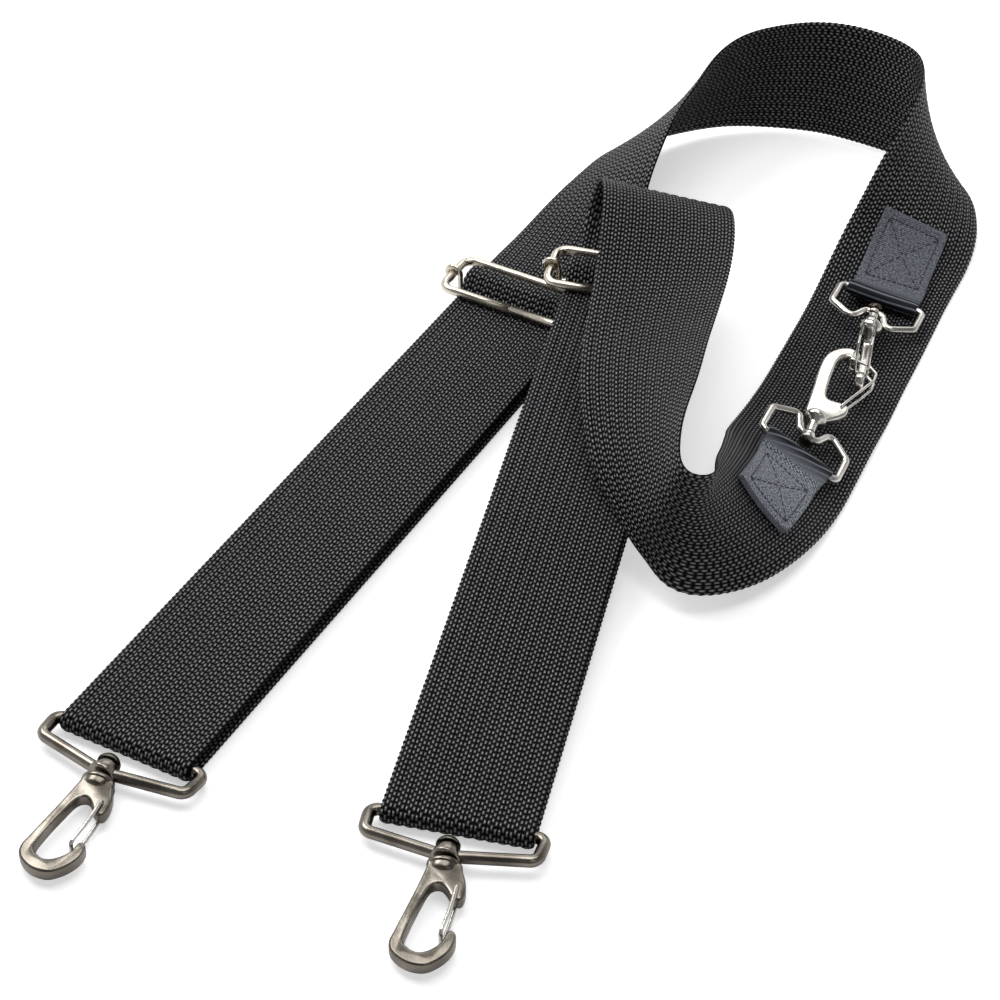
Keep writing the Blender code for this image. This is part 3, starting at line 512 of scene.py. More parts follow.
def webbing_material():
    """Black nylon: beads three to a rib, with painted highlights on their crowns, painted shade near black
    between them and painted shade in the gaps between ribs.
    """
    made, tree, shader = start_material("ribbed_black_nylon")
    place, parts = weave_place(tree)
    in_rib = calculate(tree, "PINGPONG", parts["X"], RIB_WIDTH / 2)
    lean = calculate(tree, "MULTIPLY_ADD", in_rib, BEAD_LEAN, parts["Y"])
    ahead = calculate(tree, "MULTIPLY", lean, BEAD_WIDTH / BEAD_PITCH)
    aside = calculate(tree, "ADD", parts["X"], BEAD_WIDTH / 2)
    bead_place = new_node(tree, "ShaderNodeCombineXYZ", x=ahead, y=aside).outputs[0]
    between = pattern(tree, "ShaderNodeTexBrick", bead_place, scale=1.0, brick_width=BEAD_WIDTH,
                      row_height=BEAD_WIDTH, mortar_size=BEAD_GAP, mortar_smooth=1.0,
                      offset_frequency=BEADS_A_RIB)
    # Painted highlight on the bead crowns, fading through the sides to painted shade in the grooves.
    crown = colour_ramp(tree, between, (0.0, NYLON_CROWN_PAINTED_HIGHLIGHT), (0.40, NYLON_SIDE), (0.90, NYLON_GROOVE_PAINTED_SHADE))
    wear = pattern(tree, "ShaderNodeTexNoise", place, scale=60.0, detail=3.0, roughness=0.6)
    fade = remap(tree, wear, to_min=0.55, to_max=1.40)
    # Painted shade darkens the gaps between the ribs.
    rib_gap_painted_shade = remap(tree, in_rib, from_min=RIB_GAP_START, from_max=RIB_GAP_END, to_min=1.0,
                    to_max=RIB_GAP_PAINTED_SHADE)
    tint = new_node(tree, "ShaderNodeVectorMath", operation="SCALE", vector=crown,
                    scale=calculate(tree, "MULTIPLY", fade, rib_gap_painted_shade))
    yarn = pattern(tree, "ShaderNodeTexNoise", bead_place, scale=2200.0, detail=2.0, roughness=0.6)
    height = calculate(tree, "MULTIPLY_ADD", between, -1.0, calculate(tree, "MULTIPLY", yarn, YARN_GRAIN))
    feed(tree, shader, base_color=tint.outputs[0],
         normal=raised(tree, height, strength=1.0, distance=0.0006),
         roughness=remap(tree, yarn, to_min=0.34, to_max=0.60),
         specular_IOR_level=remap(tree, between, from_max=0.75, to_min=2.20, to_max=0.05))
    return made


WEBBING = webbing_material()
strap, strap_cut = woven_band("woven_strap", strap_rows())
dress(strap, WEBBING, "strap", "strap_webbing")


# Lower plies
# The doubled run of the same webbing on each leg, from the hook's fold back to the slider.
# It takes up as the slider travels towards the hook, so it flattens along its length.

SEWN_BASE_LENGTH = 0.033
PLY_START = STUB_LENGTH - GAP
PLY_END = SLIDER_PLACE - SEWN_BASE_LENGTH - GAP / 2


def flat_row(leg, along, height, slope=0.0):
    axes = leg.to_3x3()
    normal = axes @ Vector((-math.sin(slope), 0, math.cos(slope)))
    return leg @ Vector((along, 0, height)), axes @ Vector((0, 1, 0)), normal


def lower_ply(side, leg):
    steps = round((PLY_END - PLY_START) / WEAVE_STEP)
    places = [PLY_START + (PLY_END - PLY_START) * k / steps for k in range(steps + 1)]
    rows = [flat_row(leg, along, LOWER_PLY) for along in places]
    ply, cut = woven_band(side + "_woven_lower_ply", rows)
    dress(ply, WEBBING, "strap", side + "_lower_ply")
    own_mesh(ply)


lower_ply("left", LEFT_LEG)
lower_ply("right", RIGHT_LEG)


# Sewn ends
# The webbing's end is turned round the slider's centre bar and sewn down on itself, with a
# block of close zigzag stitches in black thread through both plies.

BAR_WRAP = BAR_WIRE / 2 + GAP + WEB_THICK / 2
TAIL_LENGTH = 0.028
TAIL_SETTLE = 0.0093
TAIL_REST = LOWER_PLY + WEB_THICK + GAP
WRAP_STEPS = 12
TACK_INSET = 0.006
TACK_LENGTH = 0.010
TACK_PASSES = 30
THREAD = 0.0005
THREAD_SIDES = 8
STEEP_TRAVEL = 0.5
THREAD_DARK = (0.006, 0.006, 0.007, 1.0)
THREAD_LIGHT = (0.022, 0.022, 0.025, 1.0)


def sewn_end_rows(leg):
    """From the butt with the lower ply along the table, round the bar and back over itself."""
    rows = []
    steps = round(SEWN_BASE_LENGTH / WEAVE_STEP)
    for k in range(steps):
        rows.append(flat_row(leg, -SEWN_BASE_LENGTH * (1 - k / steps), LOWER_PLY))
    for k in range(WRAP_STEPS + 1):
        turn = math.pi * k / WRAP_STEPS
        rows.append(flat_row(leg, BAR_WRAP * math.sin(turn), BAR_HEIGHT - BAR_WRAP * math.cos(turn), turn))
    top = BAR_HEIGHT + BAR_WRAP
    steps = round(TAIL_LENGTH / WEAVE_STEP)
    for k in range(1, steps + 1):
        back = TAIL_LENGTH * k / steps
        settled = min(back / TAIL_SETTLE, 1)
        ease = settled * settled * (3 - 2 * settled)
        slope = 6 * settled * (1 - settled) * (top - TAIL_REST) / TAIL_SETTLE
        rows.append(flat_row(leg, -back, top + (TAIL_REST - top) * ease, math.pi + math.atan(slope)))
    return rows


def tube_along(bm, points, radius, sides, closed=False):
    """A round bar along the points, with flat ends or bent into a closed ring."""
    points = [Vector(point) for point in points]
    count = len(points)
    rings = []
    normal = None
    for i, point in enumerate(points):
        before = points[i - 1] if closed or i else point
        after = points[(i + 1) % count] if closed or i + 1 < count else point
        travel = (after - before).normalized()
        if normal is None:
            normal = travel.orthogonal().normalized()
            if abs(travel.z) < STEEP_TRAVEL:
                normal = (Vector((0, 0, 1)) - travel * travel.z).normalized()
        normal = (normal - travel * normal.dot(travel)).normalized()
        side = travel.cross(normal)
        ring = []
        for k in range(sides):
            turn = 2 * math.pi * (k + 0.5) / sides
            ring.append(bm.verts.new(point + radius * (math.cos(turn) * normal + math.sin(turn) * side)))
        rings.append(ring)
    if closed:
        join_rings(bm, rings + rings[:1])
    else:
        join_and_close(bm, rings)


def thread_material():
    """Black thread whose twist shows as fine slanting lines."""
    made, tree, shader = start_material("twisted_black_thread")
    place = tree.nodes.new("ShaderNodeTexCoord").outputs["Object"]
    twist = pattern(tree, "ShaderNodeTexWave", place, scale=900.0, distortion=1.0)
    tint = colour_ramp(tree, twist, (0.0, THREAD_DARK), (1.0, THREAD_LIGHT))
    feed(tree, shader, base_color=tint, roughness=0.6,
         normal=raised(tree, twist, strength=0.5, distance=0.0002))
    return made


BLACK_THREAD = thread_material()


def end_tack(side, leg):
    """One thread run to and fro across the turned end."""
    top = TAIL_REST + WEB_THICK / 2 + THREAD / 4
    back = -TAIL_LENGTH + TACK_INSET
    points = []
    for k in range(TACK_PASSES + 1):
        across = (WEB_WIDTH - 2 * TACK_INSET) * (k / TACK_PASSES - 1 / 2)
        along = back + (TACK_LENGTH if k % 2 else 0.0)
        points.append((along, across, top))
    bm = bmesh.new()
    tube_along(bm, points, THREAD / 2, THREAD_SIDES)
    tack = finish_piece(side + "_zigzag_tack", bm, leg)
    return dress(tack, BLACK_THREAD, side + "_slider", side + "_end_bartack")


def sewn_end(side, leg):
    leg = leg @ Matrix.Translation((SLIDER_PLACE, 0, 0))
    end, cut = woven_band(side + "_woven_sewn_end", sewn_end_rows(leg))
    dress(end, WEBBING, side + "_slider", side + "_sewn_end")
    end_tack(side, leg)


sewn_end("left", LEFT_LEG)
sewn_end("right", RIGHT_LEG)


# Slider frames
# Each is one nickel-plated steel wire bent into a rectangle, its ends butted in the bar
# nearer the hook. It lies on the strap, which bulges up between its two bars.

FRAME_HALF_WIDTH = 0.0306
FRAME_SHIFT = 0.0014
FRAME_CORNER = 0.0045
FRAME_SPLIT = 0.0006
WIRE_SIDES = 28
BEND_STEPS = 10
CORNER_REACH_SHARE = 0.49
STRAIGHT_ANGLE = math.radians(179)
WARM_NICKEL = (0.86, 0.80, 0.68, 1.0)
WARM_NICKEL_DULL = (0.62, 0.56, 0.46, 1.0)
FRAME_PLATED_WIRE = 0.0034
RUB_SMOOTHS = 0.07
RUB_DULLS = 0.12


def rounded(points, radius, closed):
    """The points with an arc of the radius at each corner."""
    rows = []
    count = len(points)
    for i, corner in enumerate(points):
        corner = Vector(corner)
        if not closed and i in (0, count - 1):
            rows.append(corner)
            continue
        before = Vector(points[i - 1]) - corner
        after = Vector(points[(i + 1) % count]) - corner
        angle = before.angle(after)
        if angle > STRAIGHT_ANGLE:
            rows.append(corner)
            continue
        longest = CORNER_REACH_SHARE * min(before.length, after.length)
        reach = min(radius / math.tan(angle / 2), longest)
        arc = reach * math.tan(angle / 2)
        inward = (before.normalized() + after.normalized()).normalized()
        middle = corner + inward * (arc / math.sin(angle / 2))
        start = corner + before.normalized() * reach - middle
        end = corner + after.normalized() * reach - middle
        sweep = start.angle(end)
        for k in range(BEND_STEPS + 1):
            t = k / BEND_STEPS
            row = (start * math.sin((1 - t) * sweep) + end * math.sin(t * sweep)) / math.sin(sweep)
            rows.append(middle + row)
    return rows


def plated_material(name, bright, dull, roughness, grain):
    """Plated metal: colour and gloss vary softly, with fine rub marks and a slightly wavy surface."""
    made, tree, shader = start_material(name)
    place = tree.nodes.new("ShaderNodeTexCoord").outputs["Object"]
    cloud = pattern(tree, "ShaderNodeTexNoise", place, scale=90.0, detail=1.5, roughness=0.5)
    rub = pattern(tree, "ShaderNodeTexNoise", place, scale=grain, detail=5.0, roughness=0.7)
    wave = raised(tree, cloud, strength=0.35, distance=0.0009)
    feed(tree, shader, metallic=1.0, base_color=colour_ramp(tree, cloud, (0.32, dull), (0.66, bright)),
         roughness=remap(tree, rub, to_min=roughness - RUB_SMOOTHS, to_max=roughness + RUB_DULLS),
         normal=raised(tree, rub, strength=0.12, distance=0.0003, normal=wave))
    return made


SLIDER_NICKEL = plated_material("slider_nickel", WARM_NICKEL, WARM_NICKEL_DULL, roughness=0.22, grain=700.0)


def slider_place(leg):
    return leg @ Matrix.Translation((SLIDER_PLACE, FRAME_SHIFT, FRAME_HEIGHT))


def slider_frame(side, leg):
    half = FRAME_SPACING / 2
    split = FRAME_SPLIT / 2
    corners = [(-half, split, 0), (-half, FRAME_HALF_WIDTH, 0), (half, FRAME_HALF_WIDTH, 0),
               (half, -FRAME_HALF_WIDTH, 0), (-half, -FRAME_HALF_WIDTH, 0), (-half, -split, 0)]
    bm = bmesh.new()
    tube_along(bm, rounded(corners, FRAME_CORNER, False), FRAME_PLATED_WIRE / 2, WIRE_SIDES)
    made = finish_piece(side + "_bent_wire_frame", bm, slider_place(leg))
    dress(made, SLIDER_NICKEL, side + "_slider", side + "_slider_frame")


slider_frame("left", LEFT_LEG)
slider_frame("right", RIGHT_LEG)


# Slider centre bars
# A thinner wire passes under the strap through the sewn end. Outside the webbing each end
# rises and is rolled in a ring round the frame's arm.

BAR_BEND = 0.0012
BAR_RING_SWEEP = math.radians(265)
RING_STEPS = 40
BAR_SIDES = 24


def slider_centre_bar(side, leg):
    ring = FRAME_WIRE / 2 + GAP + BAR_WIRE / 2
    riser = FRAME_HALF_WIDTH - ring
    drop = FRAME_HEIGHT - BAR_HEIGHT
    half = rounded([(0, 0, -drop), (0, riser, -drop), (0, riser, 0)], BAR_BEND, False)
    for k in range(1, RING_STEPS):
        turn = BAR_RING_SWEEP * k / (RING_STEPS - 1)
        half.append(Vector((0, FRAME_HALF_WIDTH - ring * math.cos(turn), ring * math.sin(turn))))
    mirrored = [Vector((point.x, -point.y, point.z)) for point in reversed(half[1:])]
    bm = bmesh.new()
    tube_along(bm, mirrored + half, BAR_WIRE / 2, BAR_SIDES)
    made = finish_piece(side + "_rolled_centre_bar", bm, slider_place(leg))
    dress(made, SLIDER_NICKEL, side + "_slider", side + "_slider_centre_bar")


slider_centre_bar("left", LEFT_LEG)
slider_centre_bar("right", RIGHT_LEG)


# End hook loops
# A 4.2 mm steel wire loop in black nickel, its blunt point towards the hook with a bored
# boss at the middle for the swivel. The strap is folded round its straight bar.

BASE_HALF_WIDTH = 0.0290
BASE_SIDE = 0.0105
BASE_APEX = 0.0149
BASE_CORNER = 0.0032
BASE_SHIFT = 0.0008
HOOK_LIFT = math.radians(3.5)
BOSS_LENGTH = 0.0046
BOSS_TAPER_SHARE = 0.80
BOSS_PLATED_RADIUS = 0.0049
BOSS_REACH = 0.0005
BOSS_EDGE = 0.0005
TURNED_SHARP = math.radians(50)
TURNED_SIDES = 48
BLACK_NICKEL = (0.30, 0.272, 0.232, 1.0)
BLACK_NICKEL_DULL = (0.12, 0.106, 0.087, 1.0)


def turned_solid(bm, profile, across_scale=(1.0, 1.0)):
    """A solid turned about the X axis from (along, radius) points, of which both ends are on it."""
    wide, high = across_scale
    rings = []
    for along, radius in profile:
        turns = [2 * math.pi * k / TURNED_SIDES for k in range(TURNED_SIDES if radius else 1)]
        rings.append([bm.verts.new((along, radius * math.cos(turn) * wide, radius * math.sin(turn) * high))
                      for turn in turns])
    for a, b in zip(rings, rings[1:]):
        for k in range(TURNED_SIDES):
            following = (k + 1) % TURNED_SIDES
            if len(a) == 1:
                bm.faces.new((a[0], b[following], b[k]))
            elif len(b) == 1:
                bm.faces.new((a[k], a[following], b[0]))
            else:
                bm.faces.new((a[k], a[following], b[following], b[k]))


HOOK_STEEL = plated_material("black_nickel_hook", BLACK_NICKEL, BLACK_NICKEL_DULL,
                             roughness=0.20, grain=500.0)


def boss_profile(middle, length, radius):
    """A short cone with eased edges, narrower inside the loop, where it reaches a little further."""
    inner, outer = middle - length / 2 - BOSS_REACH, middle + length / 2
    narrow = radius * BOSS_TAPER_SHARE
    return [(inner, 0), (inner, narrow - BOSS_EDGE), (inner + BOSS_EDGE / 3, narrow - BOSS_EDGE / 3),
            (inner + BOSS_EDGE, narrow), (outer - BOSS_EDGE, radius),
            (outer - BOSS_EDGE / 3, radius - BOSS_EDGE / 3), (outer, radius - BOSS_EDGE), (outer, 0)]


def bossed_loop(name, place, half, bend, wire, sides, boss):
    """A closed loop of wire whose second half mirrors the first, with a turned boss."""
    corners = half + [(x, -y, z) for x, y, z in reversed(half)]
    bm = bmesh.new()
    tube_along(bm, rounded(corners, bend, True), wire / 2, sides, closed=True)
    turned_solid(bm, boss)
    return finish_piece(name, bm, place, TURNED_SHARP)


def hook_loop(side, place):
    half = [(0, BASE_HALF_WIDTH, 0), (BASE_SIDE, BASE_HALF_WIDTH - BASE_CORNER / 4, 0)]
    half.append((BASE_APEX, BASE_CORNER, 0))
    boss = boss_profile(BASE_APEX, BOSS_LENGTH, BOSS_PLATED_RADIUS)
    made = bossed_loop(side + "_wire_loop", place, half, BASE_CORNER, HOOK_WIRE, WIRE_SIDES, boss)
    dress(made, HOOK_STEEL, side + "_hook_loop", side + "_hook_base")


def end_hook_place(leg, pitch, shift):
    """The loop leans on its boss whatever its leg's pitch."""
    place = leg @ Matrix.Translation((0, -shift, FOLD_AXIS))
    return place @ Matrix.Rotation(pitch + HOOK_LIFT, 4, "Y") @ Matrix.Rotation(math.pi, 4, "Z")


LEFT_HOOK_PLACE = end_hook_place(LEFT_LEG, 0, BASE_SHIFT)
RIGHT_HOOK_PLACE = end_hook_place(RIGHT_LEG, RIGHT_PITCH, 0.0)
hook_loop("left", LEFT_HOOK_PLACE)
hook_loop("right", RIGHT_HOOK_PLACE)


# End hook swivels
# A domed rivet head inside the loop, whose shank runs through the boss into the hook, so
# that the hook turns freely and hangs a little askew.

AXIAL_PLAY = 0.0024
HOOK_DROOP = math.radians(4.4)
SHANK_RADIUS = 0.0014
DOME_RADIUS = 0.0040
DOME_HEIGHT = 0.0034
DOME_STEPS = 10
DOME_NARROW_SHARE = 0.75
DOME_RIM_SHARE = 0.2
DOME_RISE_POWER = 2.4
DOME_CROWN_POWER = 0.9
DOME_FLARE_POWER = 3
LEFT_YAW = math.radians(11.5)
RIGHT_YAW = math.radians(5.8)
LEFT_PULLED = AXIAL_PLAY * 0.52
RIGHT_PULLED = AXIAL_PLAY * 0.45


def dome_profile(inner, radius, height, shank, outer):
    """A rounded cone with a short rim, then the shank."""
    rows = []
    for k in range(DOME_STEPS):
        t = k / DOME_STEPS
        rise = height * (1 - t ** DOME_RISE_POWER * (1 - DOME_RIM_SHARE))
        crown = radius * DOME_NARROW_SHARE * math.sin(t * math.pi / 2) ** DOME_CROWN_POWER
        rows.append((inner - rise, crown + radius * (1 - DOME_NARROW_SHARE) * t ** DOME_FLARE_POWER))
    rows += [(inner - height * DOME_RIM_SHARE, radius), (inner, radius), (inner, shank), (outer, shank)]
    return rows + [(outer, 0)]


def hook_swivel(side, place, pulled):
    inner = -BOSS_LENGTH / 2 - AXIAL_PLAY + pulled
    outer = BOSS_LENGTH / 2 + pulled - GAP
    bm = bmesh.new()
    turned_solid(bm, dome_profile(inner, DOME_RADIUS, DOME_HEIGHT, SHANK_RADIUS, outer))
    made = finish_piece(side + "_domed_rivet", bm, place, TURNED_SHARP)
    dress(made, HOOK_STEEL, side + "_hook_swivelling_part", side + "_hook_swivel_rivet")


def swivel_place(place, yaw):
    askew = Matrix.Rotation(yaw, 4, "Z") @ Matrix.Rotation(HOOK_DROOP, 4, "Y")
    return place @ Matrix.Translation((BASE_APEX, 0, 0)) @ askew


LEFT_SWIVEL = swivel_place(LEFT_HOOK_PLACE, LEFT_YAW)
RIGHT_SWIVEL = swivel_place(RIGHT_HOOK_PLACE, RIGHT_YAW)
hook_swivel("left", LEFT_SWIVEL, LEFT_PULLED)
hook_swivel("right", RIGHT_SWIVEL, RIGHT_PULLED)


# End hook bodies
# A flat zinc casting in black nickel, with a straight spine beside a long slot, a rounded nose
# and eased edges, under a ring-shaped collar that turns against the boss.

BODY_SHARES = (
    (0.02, -0.10), (0.10, -0.12), (0.30, -0.16), (0.50, -0.205), (0.70, -0.25), (0.80, -0.27),
    (0.88, -0.25), (0.95, -0.18), (0.99, -0.09), (0.99, 0.01), (0.94, 0.09), (0.86, 0.155),
    (0.77, 0.19), (0.69, 0.19), (0.65, 0.16), (0.66, 0.12), (0.74, 0.10), (0.81, 0.055),
    (0.86, -0.01), (0.87, -0.07), (0.84, -0.13), (0.78, -0.17), (0.60, -0.145), (0.42, -0.105),
    (0.29, -0.07), (0.24, -0.03), (0.24, 0.02), (0.29, 0.065), (0.34, 0.095), (0.37, 0.14),
    (0.36, 0.18), (0.30, 0.195), (0.20, 0.185), (0.10, 0.15), (0.02, 0.11),
)
BODY_LENGTH = 0.0435
BODY_THICK = 0.0048
BODY_BEVEL = 0.0010
CAST_SHARP = math.radians(40)
BEVEL_STEPS = 4
OUTLINE_STEPS = 5
COLLAR_HALF_WIDTH = 0.0056
COLLAR_HALF_HEIGHT = 0.0043
COLLAR_LENGTH = 0.0048
COLLAR_SHARES = (
    (0.0, 0.0), (0.0, 0.80), (0.03, 0.91), (0.09, 0.98), (0.18, 1.0), (0.30, 1.0), (0.38, 0.96),
    (0.42, 0.88), (0.50, 0.87), (0.80, 0.82), (0.95, 0.70), (1.0, 0.55), (1.0, 0.0),
)


def smooth_outline(shares, start, length):
    """A closed smooth line through the shares, in metres from the start."""
    points = np.array(shares)
    count = len(points)
    rows = []
    for i in range(count):
        corners = [points[(i + k - 1) % count] for k in range(4)]
        rows += [curve_point(*corners, k / OUTLINE_STEPS) for k in range(OUTLINE_STEPS)]
    return [(start + along * length, across * length) for along, across in rows]


def cast_plate(bm, outline, thick, bevel):
    """A flat casting of the outline whose edges are eased by a quarter round on both faces."""
    points = np.array(outline)
    travel = unit(np.roll(points, -1, axis=0) - np.roll(points, 1, axis=0))
    outward = np.stack([travel[:, 1], -travel[:, 0]], axis=1)
    area = (points[:, 0] * np.roll(points[:, 1], -1) - np.roll(points[:, 0], -1) * points[:, 1]).sum()
    if area < 0:
        outward = -outward
    rings = []
    for face in (-1, 1):
        steps = range(BEVEL_STEPS + 1) if face < 0 else reversed(range(BEVEL_STEPS + 1))
        for k in steps:
            turn = math.pi / 2 * k / BEVEL_STEPS
            inset = bevel * (1 - math.sin(turn))
            height = face * (thick / 2 - bevel * (1 - math.cos(turn)))
            rings.append([bm.verts.new((x - dx * inset, y - dy * inset, height))
                          for (x, y), (dx, dy) in zip(points, outward)])
    join_rings(bm, rings)
    bm.faces.new(list(reversed(rings[0])))
    bm.faces.new(rings[-1])


def hook_casting(side, place, pulled):
    start = BOSS_LENGTH / 2 + pulled
    bm = bmesh.new()
    cast_plate(bm, smooth_outline(BODY_SHARES, start, BODY_LENGTH), BODY_THICK, BODY_BEVEL)
    profile = [(start + COLLAR_LENGTH * along, out) for along, out in COLLAR_SHARES]
    turned_solid(bm, profile, (COLLAR_HALF_WIDTH, COLLAR_HALF_HEIGHT))
    made = finish_piece(side + "_cast_hook", bm, place, CAST_SHARP)
    dress(made, HOOK_STEEL, side + "_hook_swivelling_part", side + "_hook_body")


hook_casting("left", LEFT_SWIVEL, LEFT_PULLED)
hook_casting("right", RIGHT_SWIVEL, RIGHT_PULLED)


# End hook gates
# A spring wire bent double: its ends sit in a bore through the casting's shoulder, and its
# closed end bears on the inside of the nose.

BODY_GATE_SHARES = ((0.25, 0.13), (0.36, 0.125), (0.52, 0.11), (0.70, 0.08))
GATE_WIRE = 0.0014
GATE_SIDES = 20
BRIGHT_WIRE = (0.80, 0.78, 0.74, 1.0)
BRIGHT_WIRE_DULL = (0.55, 0.52, 0.48, 1.0)
SPRING_WIRE = plated_material("polished_spring_wire", BRIGHT_WIRE, BRIGHT_WIRE_DULL,
                              roughness=0.18, grain=900.0)


def doubled_wire(name, place, shares, length, thick, start, wire):
    """A gate's wire along the shares over one face, round the end and back over the other face."""
    high = thick / 2 + GAP + wire / 2
    pivot = Vector((start + shares[0][0] * length, shares[0][1] * length, 0))
    near = [Vector((start + along * length, across * length, high)) - pivot for along, across in shares]
    far = [Vector((point.x, point.y, -point.z)) for point in reversed(near)]
    foot = Vector((0, 0, GAP))
    bm = bmesh.new()
    tube_along(bm, rounded([foot] + near + far + [-foot], wire, False), wire / 2, GATE_SIDES)
    return finish_piece(name, bm, place @ Matrix.Translation(pivot))


def hook_gate(side, place, pulled):
    start = BOSS_LENGTH / 2 + pulled
    made = doubled_wire(side + "_doubled_wire_gate", place, BODY_GATE_SHARES, BODY_LENGTH, BODY_THICK,
                        start, GATE_WIRE)
    dress(made, SPRING_WIRE, side + "_hook_gate_wire", side + "_hook_gate")


hook_gate("left", LEFT_SWIVEL, LEFT_PULLED)
hook_gate("right", RIGHT_SWIVEL, RIGHT_PULLED)


# Tabs
# Two short tapes of slate blue-grey knit, each doubled round the bar of a small hook's loop
# and sewn flat on the strap with a dark thread, in a square with a cross.

TAPE_WIDTH = 0.0280
TAPE_THICK = 0.0012
SMALL_WIRE = 0.0025
EYE_RADIUS = SMALL_WIRE / 2 + GAP + TAPE_THICK
TAB_ROWS = 30
TAB_COLUMNS = 24
EYE_STEPS = 16
EYE_TURN = math.pi * 0.62
BRIDGE_SHARES = (0.33, 0.67)
TAPE_SHARP = math.radians(60)
TAB_EDGE_ROUND = 0.0003
SEAM_INSET_SHARE = 0.11
SEAM_WIDTH_SHARE = 0.035
SEAM_REACH_SHARE = 0.05
SEAM_DEPTH = 0.00032
STITCH_THREAD = 0.00042
STITCHES_A_SIDE = 10
STITCH_FILL_SHARE = 0.68
STITCH_RISE_SHARE = 0.35
STITCH_SINKS = ((0.0, 0.5), (0.25, 0.0), (0.5, -0.15), (0.75, 0.0), (1.0, 0.5))
UPPER_PLACE = {
    "corner_shares": ((6.13, -0.116), (6.13, 0.160), (5.77, -0.149), (5.75, 0.122)),
    "along": 0.6227, "side": 0.0021, "height": 0.0056, "turn": math.radians(-1.0), "flipped": False,
    "tilt": math.radians(-7.0), "lift": math.radians(7.0), "yaw": math.radians(10.1),
    "roll": math.radians(98.0),
}
LOWER_PLACE = {
    "corner_shares": ((7.43, -0.120), (7.47, 0.133), (7.86, -0.124), (7.75, 0.144)),
    "along": 0.7366, "side": 0.0014, "height": 0.0056, "turn": math.radians(2.4), "flipped": True,
    "tilt": math.radians(7.0), "lift": math.radians(13.8), "yaw": math.radians(4.4),
    "roll": math.radians(159.0),
}
SLATE = (0.180, 0.193, 0.220, 1.0)
SLATE_DARK = (0.034, 0.038, 0.048, 1.0)
# Painted shade where the tape turns round the small loop's bar, with thin lighter lines across it.
WRAP_PAINTED_SHADE = (0.004, 0.005, 0.007, 1.0)
WRAP_LINE = (0.16, 0.18, 0.22, 1.0)
WRAP_LINE_PITCH = 0.0027
KNIT_SHARE = 0.22
# Painted light: the lower tab's tape is made lighter because it faces the lamps more than the upper tab.
LOWER_TAB_PAINTED_LIGHT = 1.9
WAVES_PER_UNIT = 20 / (2 * math.pi)


def strap_point(along, side, height):
    centre, out, normal = route_row(along)
    return Vector(centre + out * side + normal * height)


def small_loop_place(place):
    """The small loop's frame on its bar: X points to the other hook."""
    centre, out, normal = route_row(place["along"])
    travel = np.cross(out, normal)
    made = Matrix((Vector(travel), Vector(out), Vector(normal))).transposed().to_4x4()
    made.translation = Vector(centre + out * place["side"] + normal * place["height"])
    made = made @ Matrix.Rotation(place["turn"], 4, "Z")
    if place["flipped"]:
        made = made @ Matrix.Rotation(math.pi, 4, "Z")
    return made @ Matrix.Rotation(place["tilt"], 4, "X") @ Matrix.Rotation(-place["lift"], 4, "Y")


def patch_point(corner_shares, along, across, height):
    """A point over the strap inside four corners: near left, near right, far left, far right."""
    near_left, near_right, far_left, far_right = np.array(corner_shares) * LAY
    near = near_left + (near_right - near_left) * across
    far = far_left + (far_right - far_left) * across
    spot = near + (far - near) * along
    return strap_point(spot[0], spot[1], height)


def seam_depth(along, across):
    """How far the stitches draw the tape down, along the square and its cross."""
    low, high = SEAM_INSET_SHARE, 1 - SEAM_INSET_SHARE
    if not all(low - SEAM_REACH_SHARE < spot < high + SEAM_REACH_SHARE for spot in (along, across)):
        return 0.0
    off = min(abs(along - low), abs(along - high), abs(across - low), abs(across - high),
              abs(along - across), abs(along + across - 1))
    return SEAM_DEPTH * math.exp(-((off / SEAM_WIDTH_SHARE) ** 2))


def tab_column(place, bar, across):
    """Once round the tape's section at a share across it, each point with how far it is in the wrap."""
    corners = place["corner_shares"]
    low = WEB_THICK / 2 + GAP
    high = low + 2 * TAPE_THICK
    reach = TAPE_WIDTH * (-1 if place["flipped"] else 1)
    side = (across - 1 / 2) * reach
    edge = min(across, 1 - across) * TAPE_WIDTH
    ease = TAB_EDGE_ROUND * (1 - min(edge / TAB_EDGE_ROUND, 1))
    top = []
    bottom = []
    for row in range(TAB_ROWS + 1):
        along = 1 - row / TAB_ROWS
        turn_in = ease if row else TAB_EDGE_ROUND
        top.append(patch_point(corners, along, across, high - seam_depth(along, across) - turn_in))
        bottom.append(patch_point(corners, along, across, low))
    eye = []
    for k in range(EYE_STEPS + 1):
        turn = EYE_TURN * (1 - 2 * k / EYE_STEPS)
        eye.append(bar @ Vector((EYE_RADIUS * math.cos(turn), side, (EYE_RADIUS - ease) * math.sin(turn))))
    bridge = [top[-1].lerp(eye[0], t) for t in BRIDGE_SHARES]
    back = [eye[-1].lerp(bottom[-1], t) for t in BRIDGE_SHARES]
    # The wrap share also marks where the tape material paints shade round the bar.
    wrap = [0.0] * len(top) + [0.0, 0.5] + [1.0] * len(eye) + [0.5, 0.0] + [0.0] * len(bottom)
    return list(zip(top + bridge + eye + back + list(reversed(bottom)), wrap))


